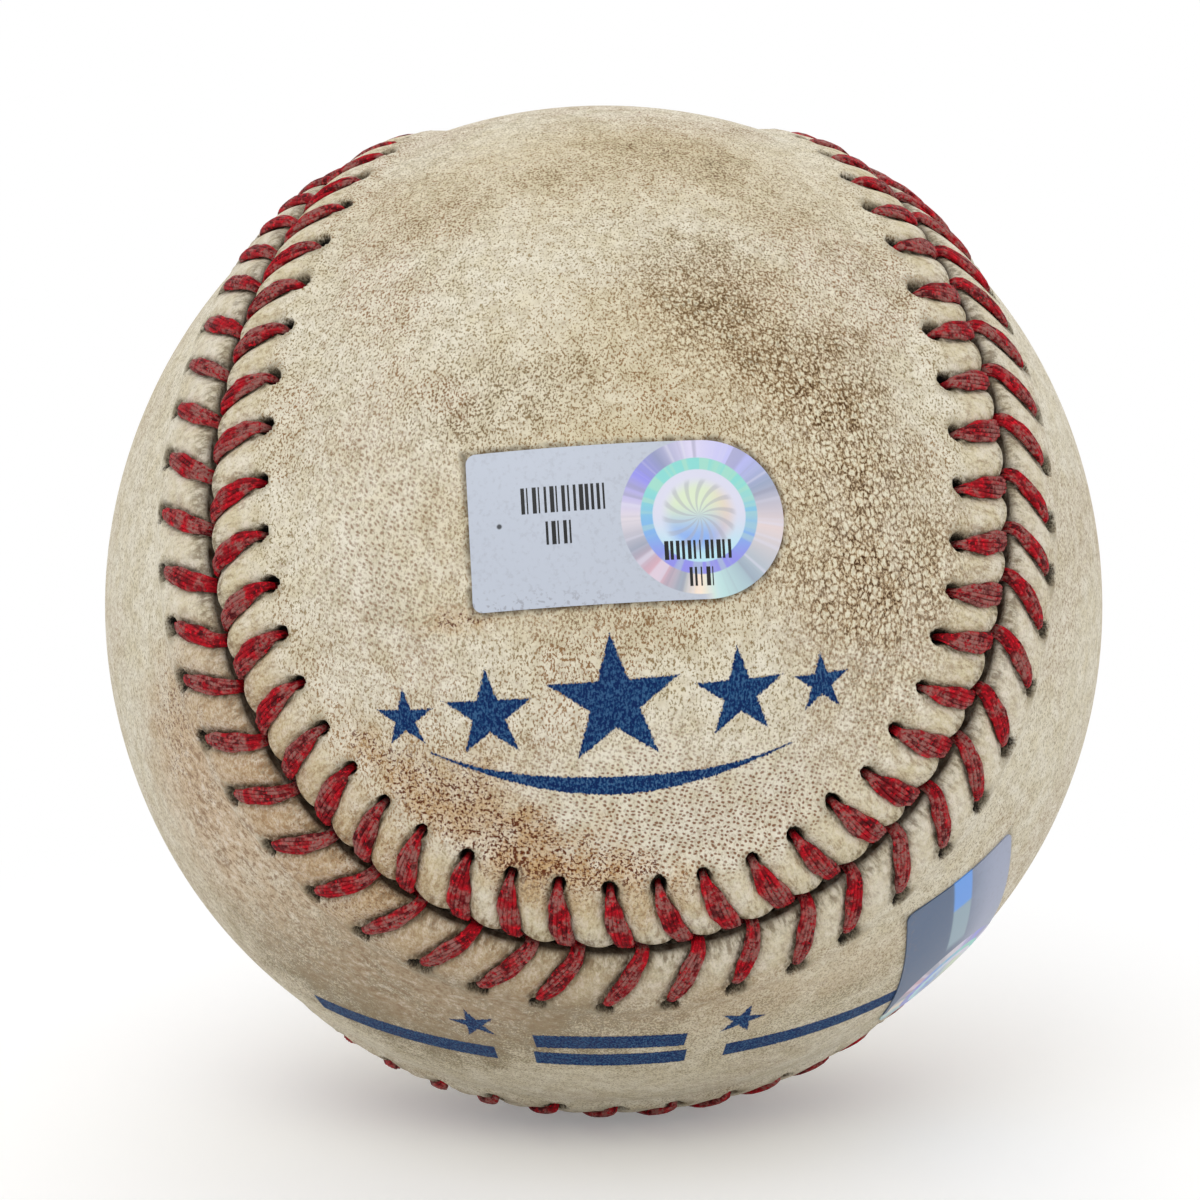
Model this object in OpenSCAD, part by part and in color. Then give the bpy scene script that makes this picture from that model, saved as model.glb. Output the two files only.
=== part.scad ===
// A stitched leather baseball, in millimetres, built in layers around its centre.
// The origin is the ball's centre, +Z is up, and the front of the ball faces -Y.

/* [Core] */
// Diameter of the moulded cork and rubber core
core_d = 20.6; // [16:0.1:24]
// Wall of the two black rubber cups round the core
black_rubber_t = 4; // [2:0.1:6]
// Thickness of the red washer that parts the two black cups
washer_t = 0.8; // [0.4:0.1:2]
// Wall of the red rubber layer moulded over the cups
red_rubber_t = 2.4; // [1:0.1:4]

/* [Windings] */
// Depth of the first winding, four-ply grey wool
inner_wool_t = 14.65; // [10:0.05:18]
// Depth of the second winding, three-ply white wool
white_wool_t = 1.75; // [1:0.05:3]
// Depth of the third winding, three-ply grey wool
outer_wool_t = 2.25; // [1:0.05:3]
// Depth of the last winding, fine cotton and polyester
cotton_t = 0.5; // [0.3:0.05:1]

/* [Cover] */
// Thickness of the leather
leather_t = 1.25; // [0.9:0.05:2]
// Width of the margin along the seam that the stitches lift
margin_w = 6.5; // [6:0.1:9]
// Gap between the two panels along the seam
seam_gap = 0.9; // [0.7:0.05:1.6]
// Distance from the middle of the seam to the middle of a needle hole
hole_set = 4.9; // [4:0.1:5.2]
// Diameter of a needle hole
hole_d = 1.5; // [1.3:0.05:2]

/* [Seam] */
// Number of stitches on each side of the seam
stitches = 108; // [88:4:112]
// Depth of the seam line's lobes, as a share of its round part
lobe_share = 0.45; // [0.4:0.01:0.5]
// Flattening of the lobes, as a share of the round part
flat_share = -0.016; // [-0.04:0.002:0.01]
// Rise and fall of the seam line, as a share of its round part
rise_share = 1.24; // [1.15:0.01:1.35]
// Angle that leans the seam's axis back from upright, in degrees
seam_tilt = 35; // [30:1:40]
// Angle that turns the ball about the seam's axis, in degrees
seam_turn = -44; // [-48:1:-40]

/* [Thread] */
// Width of a stitch at its middle, where its strands spread
thread_w = 1.8; // [1.2:0.05:2.2]
// Thickness of a stitch on top of the leather
thread_t = 0.6; // [0.4:0.05:0.8]
// Width of the thread where it passes through the seam or a hole
throat_w = 0.85; // [0.6:0.05:0.9]
// Thickness of the thread where it is pressed flat under the leather
tuck_t = 0.36; // [0.2:0.02:0.4]
// Room that the thread keeps to the leather and the winding
thread_clear = 0.03; // [0.02:0.01:0.1]

/* [Labels] */
// Length of a label, with its round end
label_l = 20; // [14:0.5:22]
// Height of a label
label_h = 10.2; // [7:0.1:11]
// Thickness of a label
label_t = 0.1; // [0.05:0.01:0.3]
// Turn of the front label about the ball's upright axis, in degrees
front_label_turn = 2.5; // [-5:0.5:10]
// Height of the front label above the ball's middle, in degrees
front_label_tilt = 15; // [10:0.5:20]
// Roll of the front label about its own middle, in degrees
front_label_roll = 2; // [-10:0.5:10]
// Turn of the side label about the ball's upright axis, in degrees
side_label_turn = 57.5; // [55:0.5:61]
// Height of the side label above the ball's middle, in degrees
side_label_tilt = -39; // [-40:0.5:-35]
// Roll of the side label about its own middle, in degrees
side_label_roll = -52; // [-55:0.5:-45]

/* [Hidden] */

// Radii of the layers, from the core out
core_r = core_d / 2;
black_rubber_r = core_r + black_rubber_t;
red_rubber_r = black_rubber_r + red_rubber_t;
inner_wool_r = red_rubber_r + inner_wool_t;
white_wool_r = inner_wool_r + white_wool_t;
outer_wool_r = white_wool_r + outer_wool_t;
cotton_r = outer_wool_r + cotton_t;
leather_r = cotton_r + leather_t;

// Facets of a ball's circle and of a needle hole's
ball_steps = 96;
hole_steps = 24;
// Seam samples for its length, and corners of a panel's whole edge
seam_samples = 720;
edge_steps = 144;
// Sides of the thread
thread_sides = 6;
// How far a cutting shape runs past what it cuts, as a share of the ball's radius
overrun_share = 0.5;
overrun = leather_r * overrun_share;

// Place of the first hole along the seam, and how far each leg leans, in stitches
first_hole_share = 0.41;
lean_a_share = 0.37;
lean_b_share = 0.64;

// Rings of one stitch, each with its way from the hole to the seam, height, width and thickness.
// Height is 0 under the leather and 1 on top of it, width goes from the throat's to the full one,
// and thickness from pressed flat to full.
stitch_shares = [
    [0.00, 0, 0.00, 0.0],
    [0.00, 1, 0.00, 0.8],
    [0.34, 1, 0.90, 1.0],
    [0.68, 1, 0.95, 1.0],
    [1.00, 1, 0.00, 0.6],
    [1.00, 0, 0.00, 0.0]
];
// How far the thread's last end runs on under the leather, as a share of the way to the next hole
tail_share = 0.6;

function unit(v) = v / norm(v);

// Direction from the centre to the seam line, for an angle t from 0 to 360
function seam_dir(t) = unit([
    cos(t) + lobe_share * cos(3 * t) + flat_share * cos(5 * t),
    sin(t) - lobe_share * sin(3 * t) + flat_share * sin(5 * t),
    rise_share * sin(2 * t)
]);

// Length of the seam line on a ball of radius 1, against its angle t
sample_angle = 360 / seam_samples;
function sample_dir(i) = seam_dir(i * sample_angle);
seam_table = [
    for (i = 0, s = 0; i <= seam_samples; s = s + norm(sample_dir(i + 1) - sample_dir(i)), i = i + 1)
        [s, i * sample_angle]
];
seam_length = seam_table[seam_samples][0];

// Straight runs of thread under the leather sink this far below the ball's curve
stitch_pitch = seam_length * leather_r / stitches;
tuck_sag = (pow(hole_set, 2) + pow(stitch_pitch, 2)) / (8 * cotton_r);
// The thread under the margin lifts it
margin_rise = tuck_t + tuck_sag + 2 * thread_clear;
margin_r = leather_r + margin_rise;
// Radii of the thread's middle line, under the leather and on top of it
tuck_r = cotton_r + margin_rise - thread_clear - tuck_t / 2;
stitch_r = margin_r + thread_clear + thread_t / 2;

// Angle t at a place along the seam, counted in stitches from the first hole
function wrap(x) = x - stitches * floor(x / stitches);
function seam_angle(place) = lookup(wrap(place + first_hole_share) / stitches * seam_length, seam_table);

// Directions along the seam and across it, towards panel a
function seam_along(t) = unit(seam_dir(t + sample_angle) - seam_dir(t - sample_angle));
function seam_across(t) = cross(seam_dir(t), seam_along(t));

// Direction to a point beside the seam, at a distance measured over the leather
function beside(t, distance) =
    let (turn = distance / leather_r * 180 / PI)
    cos(turn) * seam_dir(t) + sin(turn) * seam_across(t);

// Side of the seam that a thread's hole is on: 1 is panel a and -1 is panel b
function side_of(i, first_side) = i % 2 == 0 ? first_side : -first_side;
function lean_of(side) = side > 0 ? lean_a_share : lean_b_share;

// One ring of the thread: its middle, its direction along the seam, its width and its thickness
function thread_ring(i, side, row) =
    let (t = seam_angle(i + row[0] * lean_of(side)))
    let (r = tuck_r + row[1] * (stitch_r - tuck_r))
    [
        r * beside(t, side * (1 - row[0]) * hole_set),
        seam_along(t),
        throat_w + row[2] * (thread_w - throat_w),
        tuck_t + row[3] * (thread_t - tuck_t)
    ];

// Tail of the thread, part of the way from the last dive to the next hole
function tail_ring(first_side) =
    let (from = lean_of(side_of(stitches - 1, first_side)))
    let (t = seam_angle(stitches - 1 + from + tail_share * (1 - from)))
    let (side = side_of(stitches, first_side))
    [tuck_r * beside(t, side * tail_share * hole_set), seam_along(t), throat_w, tuck_t];

function thread_rings(first_side) = concat(
    [for (i = [0 : stitches - 1]) for (row = stitch_shares) thread_ring(i, side_of(i, first_side), row)],
    [tail_ring(first_side)]
);

// Direction of the thread at a ring, halfway between its runs before and after
function run_dir(rings, i) =
    let (before = i > 0 ? unit(rings[i][0] - rings[i - 1][0]) : [0, 0, 0])
    let (after = i < len(rings) - 1 ? unit(rings[i + 1][0] - rings[i][0]) : [0, 0, 0])
    unit(before + after);

// Corners of a ring: a flat oval that lies along the seam
function ring_corners(rings, i) =
    let (ring = rings[i], run = run_dir(rings, i))
    let (wide = unit(ring[1] - (ring[1] * run) * run))
    let (thick = cross(wide, run))
    [
        for (k = [0 : thread_sides - 1])
            let (angle = k * 360 / thread_sides)
            ring[0] + ring[2] / 2 * cos(angle) * wide + ring[3] / 2 * sin(angle) * thick
    ];

function path_length(rings, i = 1) =
    i >= len(rings) ? 0 : norm(rings[i][0] - rings[i - 1][0]) + path_length(rings, i + 1);

// Angles t at the two ends of panel a's middle line, half a turn apart
half_turn = 180;
middle_start = -45;
middle_end = middle_start + half_turn;

// Direction in the plane that halves panel a, and the point of its middle line below an edge point
half_dir = [cos(middle_start), sin(middle_start), 0];
function middle_of(v) = unit((v * half_dir) * half_dir + [0, 0, v[2]]);

// Wedge from the centre out through panel a, with its edge set in from the seam
module panel_wedge(inset) {
    reach = leather_r + overrun;
    half = edge_steps / 2;
    rows = half - 1;
    angles = [for (i = [0 : half]) middle_start + i * half_turn / half];
    near_side = [for (t = angles) beside(t, inset)];
    far_side = [for (t = angles) beside(2 * middle_end - t, inset)];
    middle = [for (v = near_side) middle_of(v)];
    points = concat(
        [[0, 0, 0], reach * middle[0], reach * middle[half]],
        [for (i = [1 : rows]) reach * near_side[i]],
        [for (i = [1 : rows]) reach * middle[i]],
        [for (i = [1 : rows]) reach * far_side[i]]
    );
    n = 3;
    m = n + rows;
    f = m + rows;
    n_end = m - 1;
    m_end = f - 1;
    f_end = m_end + rows;
    faces = concat(
        [[0, 1, n], [0, n_end, 2], [0, f, 1], [0, 2, f_end]],
        [[1, m, n], [1, f, m], [2, n_end, m_end], [2, m_end, f_end]],
        [for (i = [0 : rows - 2]) each [
            [0, n + i, n + i + 1], [0, f + i + 1, f + i],
            [n + i, m + i, m + i + 1], [n + i, m + i + 1, n + i + 1],
            [m + i, f + i, f + i + 1], [m + i, f + i + 1, m + i + 1]
        ]]
    );
    polyhedron(points, faces, convexity = 6);
}

// Hollow ball between two radii
module layer(inner_r, outer_r) {
    difference() {
        sphere(r = outer_r, $fn = ball_steps);
        sphere(r = inner_r, $fn = ball_steps);
    }
}

// Places a shape that is drawn in the seam's own axes
module in_seam_axes() {
    rotate([-seam_tilt, 0, 0]) rotate([0, 0, seam_turn]) children();
}

// Needle hole through the leather, along a radius of the ball
module needle_hole(direction) {
    rotate([0, acos(direction[2]), atan2(direction[1], direction[0])])
        translate([0, 0, cotton_r - overrun / 2])
            cylinder(h = margin_r - cotton_r + overrun, d = hole_d, $fn = hole_steps);
}

// Turns panel a's shape into the panel on the given side of the seam
module on_side(side) {
    rotate([side > 0 ? 0 : half_turn, 0, 0]) children();
}

// Leather panel: its body lies on the winding, and the thread lifts its margin
module leather_panel(side) {
    difference() {
        on_side(side) union() {
            intersection() {
                layer(cotton_r, leather_r);
                panel_wedge(margin_w);
            }
            difference() {
                intersection() {
                    layer(cotton_r + margin_rise, margin_r);
                    panel_wedge(seam_gap / 2);
                }
                panel_wedge(margin_w);
            }
        }
        for (i = [0 : stitches - 1]) {
            needle_hole(beside(seam_angle(i), side * hole_set));
        }
    }
}

// Thread: one unbroken tube that crosses the seam over and under the leather
module stitched_thread(first_side) {
    rings = thread_rings(first_side);
    n = thread_sides;
    last = (len(rings) - 1) * n;
    points = [for (i = [0 : len(rings) - 1]) each ring_corners(rings, i)];
    faces = concat(
        [for (i = [0 : len(rings) - 2]) for (k = [0 : n - 1])
            let (a = i * n + k, b = i * n + (k + 1) % n)
            each [[a, b, b + n], [a, b + n, a + n]]],
        [for (k = [1 : n - 2]) [0, k + 1, k]],
        [for (k = [1 : n - 2]) [last, last + k, last + k + 1]]
    );
    polyhedron(points, faces, convexity = 10);
    echo(first_side = first_side, thread_length = path_length(rings));
}

// Label: a thin sheet on the leather, with square corners on its left and a round right end
module label(turn, tilt, roll) {
    straight = label_l - label_h / 2;
    intersection() {
        layer(leather_r, leather_r + label_t);
        rotate([90 - tilt, 0, turn]) rotate([0, 0, roll]) translate([0, 0, overrun])
            linear_extrude(leather_r) {
                translate([-label_l / 2, -label_h / 2]) square([straight, label_h]);
                translate([straight - label_l / 2, 0]) circle(d = label_h, $fn = ball_steps);
            }
    }
}

// Half of the black rubber, on one side of the washer
module black_rubber_cup(side) {
    intersection() {
        layer(core_r, black_rubber_r);
        translate([-overrun, -overrun, side > 0 ? washer_t / 2 : -overrun - washer_t / 2])
            cube([2 * overrun, 2 * overrun, overrun]);
    }
}

module cork_core() {
    color("#8c6b4a") sphere(r = core_r, $fn = ball_steps);
}

module black_rubber_cup_a() {
    color("#26262a") black_rubber_cup(1);
}

module black_rubber_cup_b() {
    color("#26262a") black_rubber_cup(-1);
}

module cushion_washer() {
    color("#a83a30") intersection() {
        layer(core_r, black_rubber_r);
        translate([-overrun, -overrun, -washer_t / 2]) cube([2 * overrun, 2 * overrun, washer_t]);
    }
}

module red_rubber_layer() {
    color("#a83a30") layer(black_rubber_r, red_rubber_r);
}

module grey_wool_inner() {
    color("#8d8c88") layer(red_rubber_r, inner_wool_r);
}

module white_wool_middle() {
    color("#e9e4d8") layer(inner_wool_r, white_wool_r);
}

module grey_wool_outer() {
    color("#8d8c88") layer(white_wool_r, outer_wool_r);
}

module cotton_winding() {
    color("#efece4") layer(outer_wool_r, cotton_r);
}

module cover_panel_a() {
    color("#cdbb9c") in_seam_axes() leather_panel(1);
}

module cover_panel_b() {
    color("#c6b596") in_seam_axes() leather_panel(-1);
}

module seam_thread_a() {
    color("#9c1c2c") in_seam_axes() stitched_thread(1);
}

module seam_thread_b() {
    color("#8e1828") in_seam_axes() stitched_thread(-1);
}

module front_label() {
    color("#b9bcc9") label(front_label_turn, front_label_tilt, front_label_roll);
}

module side_label() {
    color("#7f8fae") label(side_label_turn, side_label_tilt, side_label_roll);
}

cork_core();
black_rubber_cup_a();
black_rubber_cup_b();
cushion_washer();
red_rubber_layer();
grey_wool_inner();
white_wool_middle();
grey_wool_outer();
cotton_winding();
cover_panel_a();
cover_panel_b();
seam_thread_a();
seam_thread_b();
front_label();
side_label();
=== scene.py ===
"""A worn leather baseball, dressed round its packed construction frame.

Shapes are worked out in millimetres and laid over meshes in metres. The ball's centre is the
origin, +Z is up and the front of the ball faces -Y, as in the frame.
"""

import logging
import math
from dataclasses import dataclass, field
from enum import Enum
from functools import partial, reduce

import bpy
import numpy as np
from mathutils import Matrix, Vector
from mathutils.geometry import delaunay_2d_cdt


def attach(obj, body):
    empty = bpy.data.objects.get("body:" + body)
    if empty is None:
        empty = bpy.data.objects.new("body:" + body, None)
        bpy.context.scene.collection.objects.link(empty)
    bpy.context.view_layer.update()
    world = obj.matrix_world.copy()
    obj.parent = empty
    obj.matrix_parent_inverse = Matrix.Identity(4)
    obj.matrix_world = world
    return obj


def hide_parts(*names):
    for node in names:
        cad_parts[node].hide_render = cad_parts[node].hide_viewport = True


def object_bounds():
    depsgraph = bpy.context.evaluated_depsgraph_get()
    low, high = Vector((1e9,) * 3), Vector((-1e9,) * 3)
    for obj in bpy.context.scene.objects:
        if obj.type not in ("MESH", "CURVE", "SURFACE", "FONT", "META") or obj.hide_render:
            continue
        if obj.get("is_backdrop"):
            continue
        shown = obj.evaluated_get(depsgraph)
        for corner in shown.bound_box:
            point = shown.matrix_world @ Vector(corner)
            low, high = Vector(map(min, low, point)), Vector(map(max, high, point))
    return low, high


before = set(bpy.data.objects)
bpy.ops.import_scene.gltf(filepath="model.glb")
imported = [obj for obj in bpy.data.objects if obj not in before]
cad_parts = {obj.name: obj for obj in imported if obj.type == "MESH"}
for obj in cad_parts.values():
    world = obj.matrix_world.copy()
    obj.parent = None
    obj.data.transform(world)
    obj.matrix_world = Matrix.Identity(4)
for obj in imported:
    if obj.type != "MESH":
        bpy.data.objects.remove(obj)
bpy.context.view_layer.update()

LOG = logging.getLogger("baseball")
BODY = "root"
MM = 0.001
WHITE = (1.0, 1.0, 1.0, 1.0)

Array = np.ndarray
Level = float | Array
Pair = tuple[float, float]
Ring = tuple[float, float, float, float, float]
Line = tuple[Array, Array, Array, Array]
Material = bpy.types.Material
Piece = bpy.types.Object
Socket = bpy.types.NodeSocket


class Side(Enum):
    """Side of the seam that a panel or a needle hole is on."""

    A = 1
    B = -1

    @property
    def row(self) -> int:
        """Row of this side in a table of stitches."""
        return 0 if self is Side.A else 1

    @property
    def other(self) -> "Side":
        """The side across the seam."""
        return Side.B if self is Side.A else Side.A


def smooth(low: float, high: float, value: Level) -> Level:
    """Rises smoothly from 0 at low to 1 at high.

    Args:
        low: Value at and below which the result is 0.
        high: Value at and above which the result is 1.
        value: Values to look up.

    Returns:
        The smooth share of each value.
    """
    share = np.clip((value - low) / (high - low), 0.0, 1.0)
    return share * share * (3.0 - 2.0 * share)


def fall(low: float, high: float, value: Level) -> Level:
    """Falls smoothly from 1 at low to 0 at high."""
    return 1.0 - smooth(low, high, value)


def unit(vectors: Array) -> Array:
    """Scales vectors to length 1."""
    return vectors / np.linalg.norm(vectors, axis=-1, keepdims=True)


def square_to(vectors: Array, ways: Array) -> Array:
    """Turns vectors until they stand square to the ways, and scales them to length 1."""
    return unit(vectors - np.sum(vectors * ways, axis=1, keepdims=True) * ways)


def lengths_along(points: Array) -> Array:
    """Lengths along a line of points, from 0 at the first."""
    return np.concatenate([[0.0], np.cumsum(np.linalg.norm(np.diff(points, axis=0), axis=1))])


def node_radii(node: str) -> Pair:
    """Measures how near and how far a frame node's corners lie from the ball's centre.

    Args:
        node: Name of the node.

    Returns:
        The least and the greatest distance, in millimetres.
    """
    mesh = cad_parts[node].data
    corners = np.empty(len(mesh.vertices) * 3, np.float32)
    mesh.vertices.foreach_get("co", corners)
    radii = np.linalg.norm(corners.reshape(-1, 3), axis=1) / MM
    return float(radii.min()), float(radii.max())


def facing(turn: float, tilt: float, roll: float = 0.0) -> Matrix:
    """Axes of a place on the ball, as columns: right, up and outward.

    Args:
        turn: Turn about the upright axis from the front, in degrees.
        tilt: Height above the ball's middle, in degrees.
        roll: Turn about the outward axis, in degrees.

    Returns:
        The rotation from the place's axes to the ball's.
    """
    upright = Matrix.Rotation(math.radians(turn), 3, "Z")
    lean = Matrix.Rotation(math.radians(90.0 - tilt), 3, "X")
    return upright @ lean @ Matrix.Rotation(math.radians(roll), 3, "Z")


def deselect_all() -> None:
    """Leaves edit mode and deselects every object."""
    if bpy.context.mode != "OBJECT":
        bpy.ops.object.mode_set(mode="OBJECT")
    bpy.ops.object.select_all(action="DESELECT")


def pick(piece: Piece) -> None:
    """Makes one piece the only selected and active one.

    Args:
        piece: The piece to pick.
    """
    deselect_all()
    piece.select_set(True)
    bpy.context.view_layer.objects.active = piece


def lay_grid(name: str, points: Array) -> Piece:
    """Adds a grid and lays its corners over a table of points.

    Args:
        name: Name of the new piece.
        points: Rows and columns of points, in millimetres.

    Returns:
        The new piece.
    """
    rows, columns = points.shape[:2]
    deselect_all()
    bpy.ops.mesh.primitive_grid_add(x_subdivisions=columns - 1, y_subdivisions=rows - 1, size=1)
    piece = bpy.context.active_object
    piece.name = piece.data.name = name
    piece.data.vertices.foreach_set("co", (points * MM).astype(np.float32).ravel())
    piece.data.update()
    return piece


def fill_outline(outline: Array, inside: Array) -> tuple[Array, list[tuple[int, ...]]]:
    """Fills a flat closed outline with triangles.

    Args:
        outline: Points of the outline in order, in millimetres.
        inside: Points to use within it.

    Returns:
        The flat points and the triangles between them.
    """
    count = len(outline)
    points = [Vector(p) for p in np.concatenate([outline, inside])]
    edges = [(i, (i + 1) % count) for i in range(count)]
    corners, _, faces, *_ = delaunay_2d_cdt(points, edges, [], 1, 1e-6)
    return np.array([tuple(c) for c in corners]), [tuple(f) for f in faces]


def hex_places(reach: Pair, spacing: float) -> Array:
    """Points of an even triangular pattern over a flat rectangle.

    Args:
        reach: Half width and half height of the rectangle, in millimetres.
        spacing: Distance between neighbours, in millimetres.

    Returns:
        The points.
    """
    step = spacing * math.sqrt(0.75)
    across = np.arange(-reach[1], reach[1], step)
    along = np.arange(-reach[0], reach[0], spacing)
    grid = np.stack(np.meshgrid(along, across), axis=-1)
    grid[1::2, :, 0] += spacing / 2
    return grid.reshape(-1, 2)


def add_object(name: str, data: bpy.types.ID) -> Piece:
    """Adds an object with its data to the scene.

    Args:
        name: Name of the object.
        data: Its mesh, camera or light.

    Returns:
        The object.
    """
    added = bpy.data.objects.new(name, data)
    bpy.context.scene.collection.objects.link(added)
    return added


def new_mesh(name: str, corners: Array, faces: list[tuple[int, ...]]) -> Piece:
    """Makes a piece of corners, in millimetres, and faces.

    Args:
        name: Name of the piece.
        corners: Its corners, in millimetres.
        faces: Numbers of each face's corners.

    Returns:
        The piece.
    """
    mesh = bpy.data.meshes.new(name)
    mesh.from_pydata((corners * MM).tolist(), [], faces)
    return add_object(name, mesh)


def clothe(mesh: bpy.types.Mesh, material: Material) -> None:
    """Makes a material the only one of a mesh."""
    mesh.materials.clear()
    mesh.materials.append(material)


def mark(piece: Piece, name: str, values: Array) -> None:
    """Keeps a number or a vector per corner of a piece, for its finish to read.

    Args:
        piece: The piece.
        name: Name to keep the values under.
        values: A number or a vector for each corner.
    """
    several = values.size == len(piece.data.vertices) * 3
    attribute = piece.data.attributes.new(name, "FLOAT_VECTOR" if several else "FLOAT", "POINT")
    attribute.data.foreach_set("vector" if several else "value", values.astype(np.float32).ravel())


def join(name: str, parts: list[Piece]) -> Piece:
    """Joins parts into one piece under a name.

    Args:
        name: Name of the joined piece.
        parts: The parts to join.

    Returns:
        The joined piece.
    """
    pick(parts[0])
    for part in parts:
        part.select_set(True)
    bpy.ops.object.join()
    piece = bpy.context.active_object
    piece.name = piece.data.name = name
    return piece


def close_up(piece: Piece, merge: float, end_sides: int = 0) -> None:
    """Merges corners that coincide, closes open ends and turns every face outwards.

    Args:
        piece: The piece to close.
        merge: Distance within which corners are merged, in millimetres.
        end_sides: Sides of the open ends to fill, or 0 for none.
    """
    pick(piece)
    bpy.ops.object.mode_set(mode="EDIT")
    bpy.ops.mesh.select_all(action="SELECT")
    bpy.ops.mesh.remove_doubles(threshold=merge * MM)
    if end_sides:
        bpy.ops.mesh.fill_holes(sides=end_sides)
    bpy.ops.mesh.select_all(action="SELECT")
    bpy.ops.mesh.normals_make_consistent(inside=False)
    bpy.ops.object.mode_set(mode="OBJECT")
    bpy.ops.object.shade_smooth()


def srgb(*colour: float) -> tuple[float, ...]:
    """Turns a colour as seen on screen, 0 to 255, into the linear one that a shader takes."""
    shares = [part / 255.0 for part in colour]
    return (*(s / 12.92 if s <= 0.04045 else ((s + 0.055) / 1.055) ** 2.4 for s in shares), 1.0)


@dataclass(frozen=True)
class BallSizes:
    """Radii of the ball's layers in millimetres, as the frame has them."""

    cotton: float
    leather: float
    margin: float
    label: float

    @classmethod
    def from_frame(cls) -> "BallSizes":
        """Reads the radii off the frame's nodes."""
        leather, label = node_radii("front_label")
        return cls(node_radii("cotton_winding")[1], leather, node_radii("cover_panel_a")[1], label)

    @property
    def rise(self) -> float:
        """How far the thread under the margin lifts it."""
        return self.margin - self.leather


@dataclass
class Lumps:
    """Slow swells of the cover over the windings."""

    height: float = 0.05
    waves: int = 9
    pitch: Pair = (0.10, 0.36)
    seed: int = 5
    ways: Array = field(init=False)
    phases: Array = field(init=False)

    def __post_init__(self) -> None:
        """Draws the waves' directions and phases."""
        rng = np.random.default_rng(self.seed)
        ways = unit(rng.normal(size=(self.waves, 3)))
        self.ways = ways * rng.uniform(*self.pitch, size=(self.waves, 1))
        self.phases = rng.uniform(0.0, math.tau, self.waves)

    def at(self, directions: Array, radius: float) -> Array:
        """Height of the swells in millimetres in the given directions."""
        waves = np.sin(directions @ self.ways.T * radius + self.phases)
        return waves.sum(axis=-1) * self.height / math.sqrt(self.waves)


@dataclass
class SeamLine:
    """The closed seam line on the ball and the directions beside it.

    A place on the line is counted in stitches from the first needle hole.
    """

    radius: float
    stitches: int = 108
    lobe: float = 0.45
    flat: float = -0.016
    rise: float = 1.24
    tilt: float = 35.0
    turn: float = -44.0
    first_hole: float = 0.41
    samples: int = 4320
    tangent_step: float = 0.05
    search_step: float = 0.1
    batch: int = 6000
    axes: Array = field(init=False)
    angles: Array = field(init=False)
    lengths: Array = field(init=False)

    def __post_init__(self) -> None:
        """Measures the line's length against its angle."""
        lean = Matrix.Rotation(math.radians(-self.tilt), 3, "X")
        self.axes = np.array(lean @ Matrix.Rotation(math.radians(self.turn), 3, "Z"))
        self.angles = np.linspace(0.0, math.tau, self.samples + 1)
        self.lengths = lengths_along(self._line(self.angles))

    @property
    def pitch(self) -> float:
        """Distance from one stitch to the next, in millimetres."""
        return self.lengths[-1] * self.radius / self.stitches

    def _line(self, angles: Array) -> Array:
        """Directions to the line at its own angles, in the ball's axes.

        Args:
            angles: Angles of the line's own curve, in radians.

        Returns:
            The directions.
        """
        x = np.cos(angles) + self.lobe * np.cos(3 * angles) + self.flat * np.cos(5 * angles)
        y = np.sin(angles) - self.lobe * np.sin(3 * angles) + self.flat * np.sin(5 * angles)
        z = self.rise * np.sin(2 * angles)
        return unit(np.stack([x, y, z], axis=-1)) @ self.axes.T

    def _angle(self, places: Array) -> Array:
        """The line's own angle at places counted in stitches."""
        share = np.mod(places + self.first_hole, self.stitches) / self.stitches
        return np.interp(share * self.lengths[-1], self.lengths, self.angles)

    def direction(self, places: Array) -> Array:
        """Directions from the centre to places on the line."""
        return self._line(self._angle(places))

    def along(self, places: Array) -> Array:
        """Directions along the line at places on it."""
        return unit(self.direction(places + self.tangent_step) - self.direction(places - self.tangent_step))

    def beside(self, places: Array, distance: Array) -> Array:
        """Directions to points beside the line.

        Args:
            places: Places along the line, in stitches.
            distance: Distance over the leather in millimetres, positive towards panel a.

        Returns:
            The directions from the ball's centre.
        """
        middle = self.direction(places)
        across = np.cross(middle, self.along(places))
        turn = (distance / self.radius)[..., None]
        return np.cos(turn) * middle + np.sin(turn) * across

    def distance(self, directions: Array, side: Side) -> Array:
        """Distance from the line into one side's panel, in millimetres.

        Args:
            directions: Directions from the ball's centre.
            side: The panel's side.

        Returns:
            The distances, negative on the other panel.
        """
        places = np.arange(0.0, self.stitches, self.search_step)
        middle = self.direction(places)
        across = np.cross(middle, self.along(places))
        found = []
        for part in np.array_split(directions, max(1, len(directions) // self.batch)):
            nearest = np.argmax(part @ middle.T, axis=1)
            found.append(np.arcsin(np.clip(np.sum(part * across[nearest], axis=1), -1, 1)))
        return np.concatenate(found) * self.radius * side.value


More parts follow.
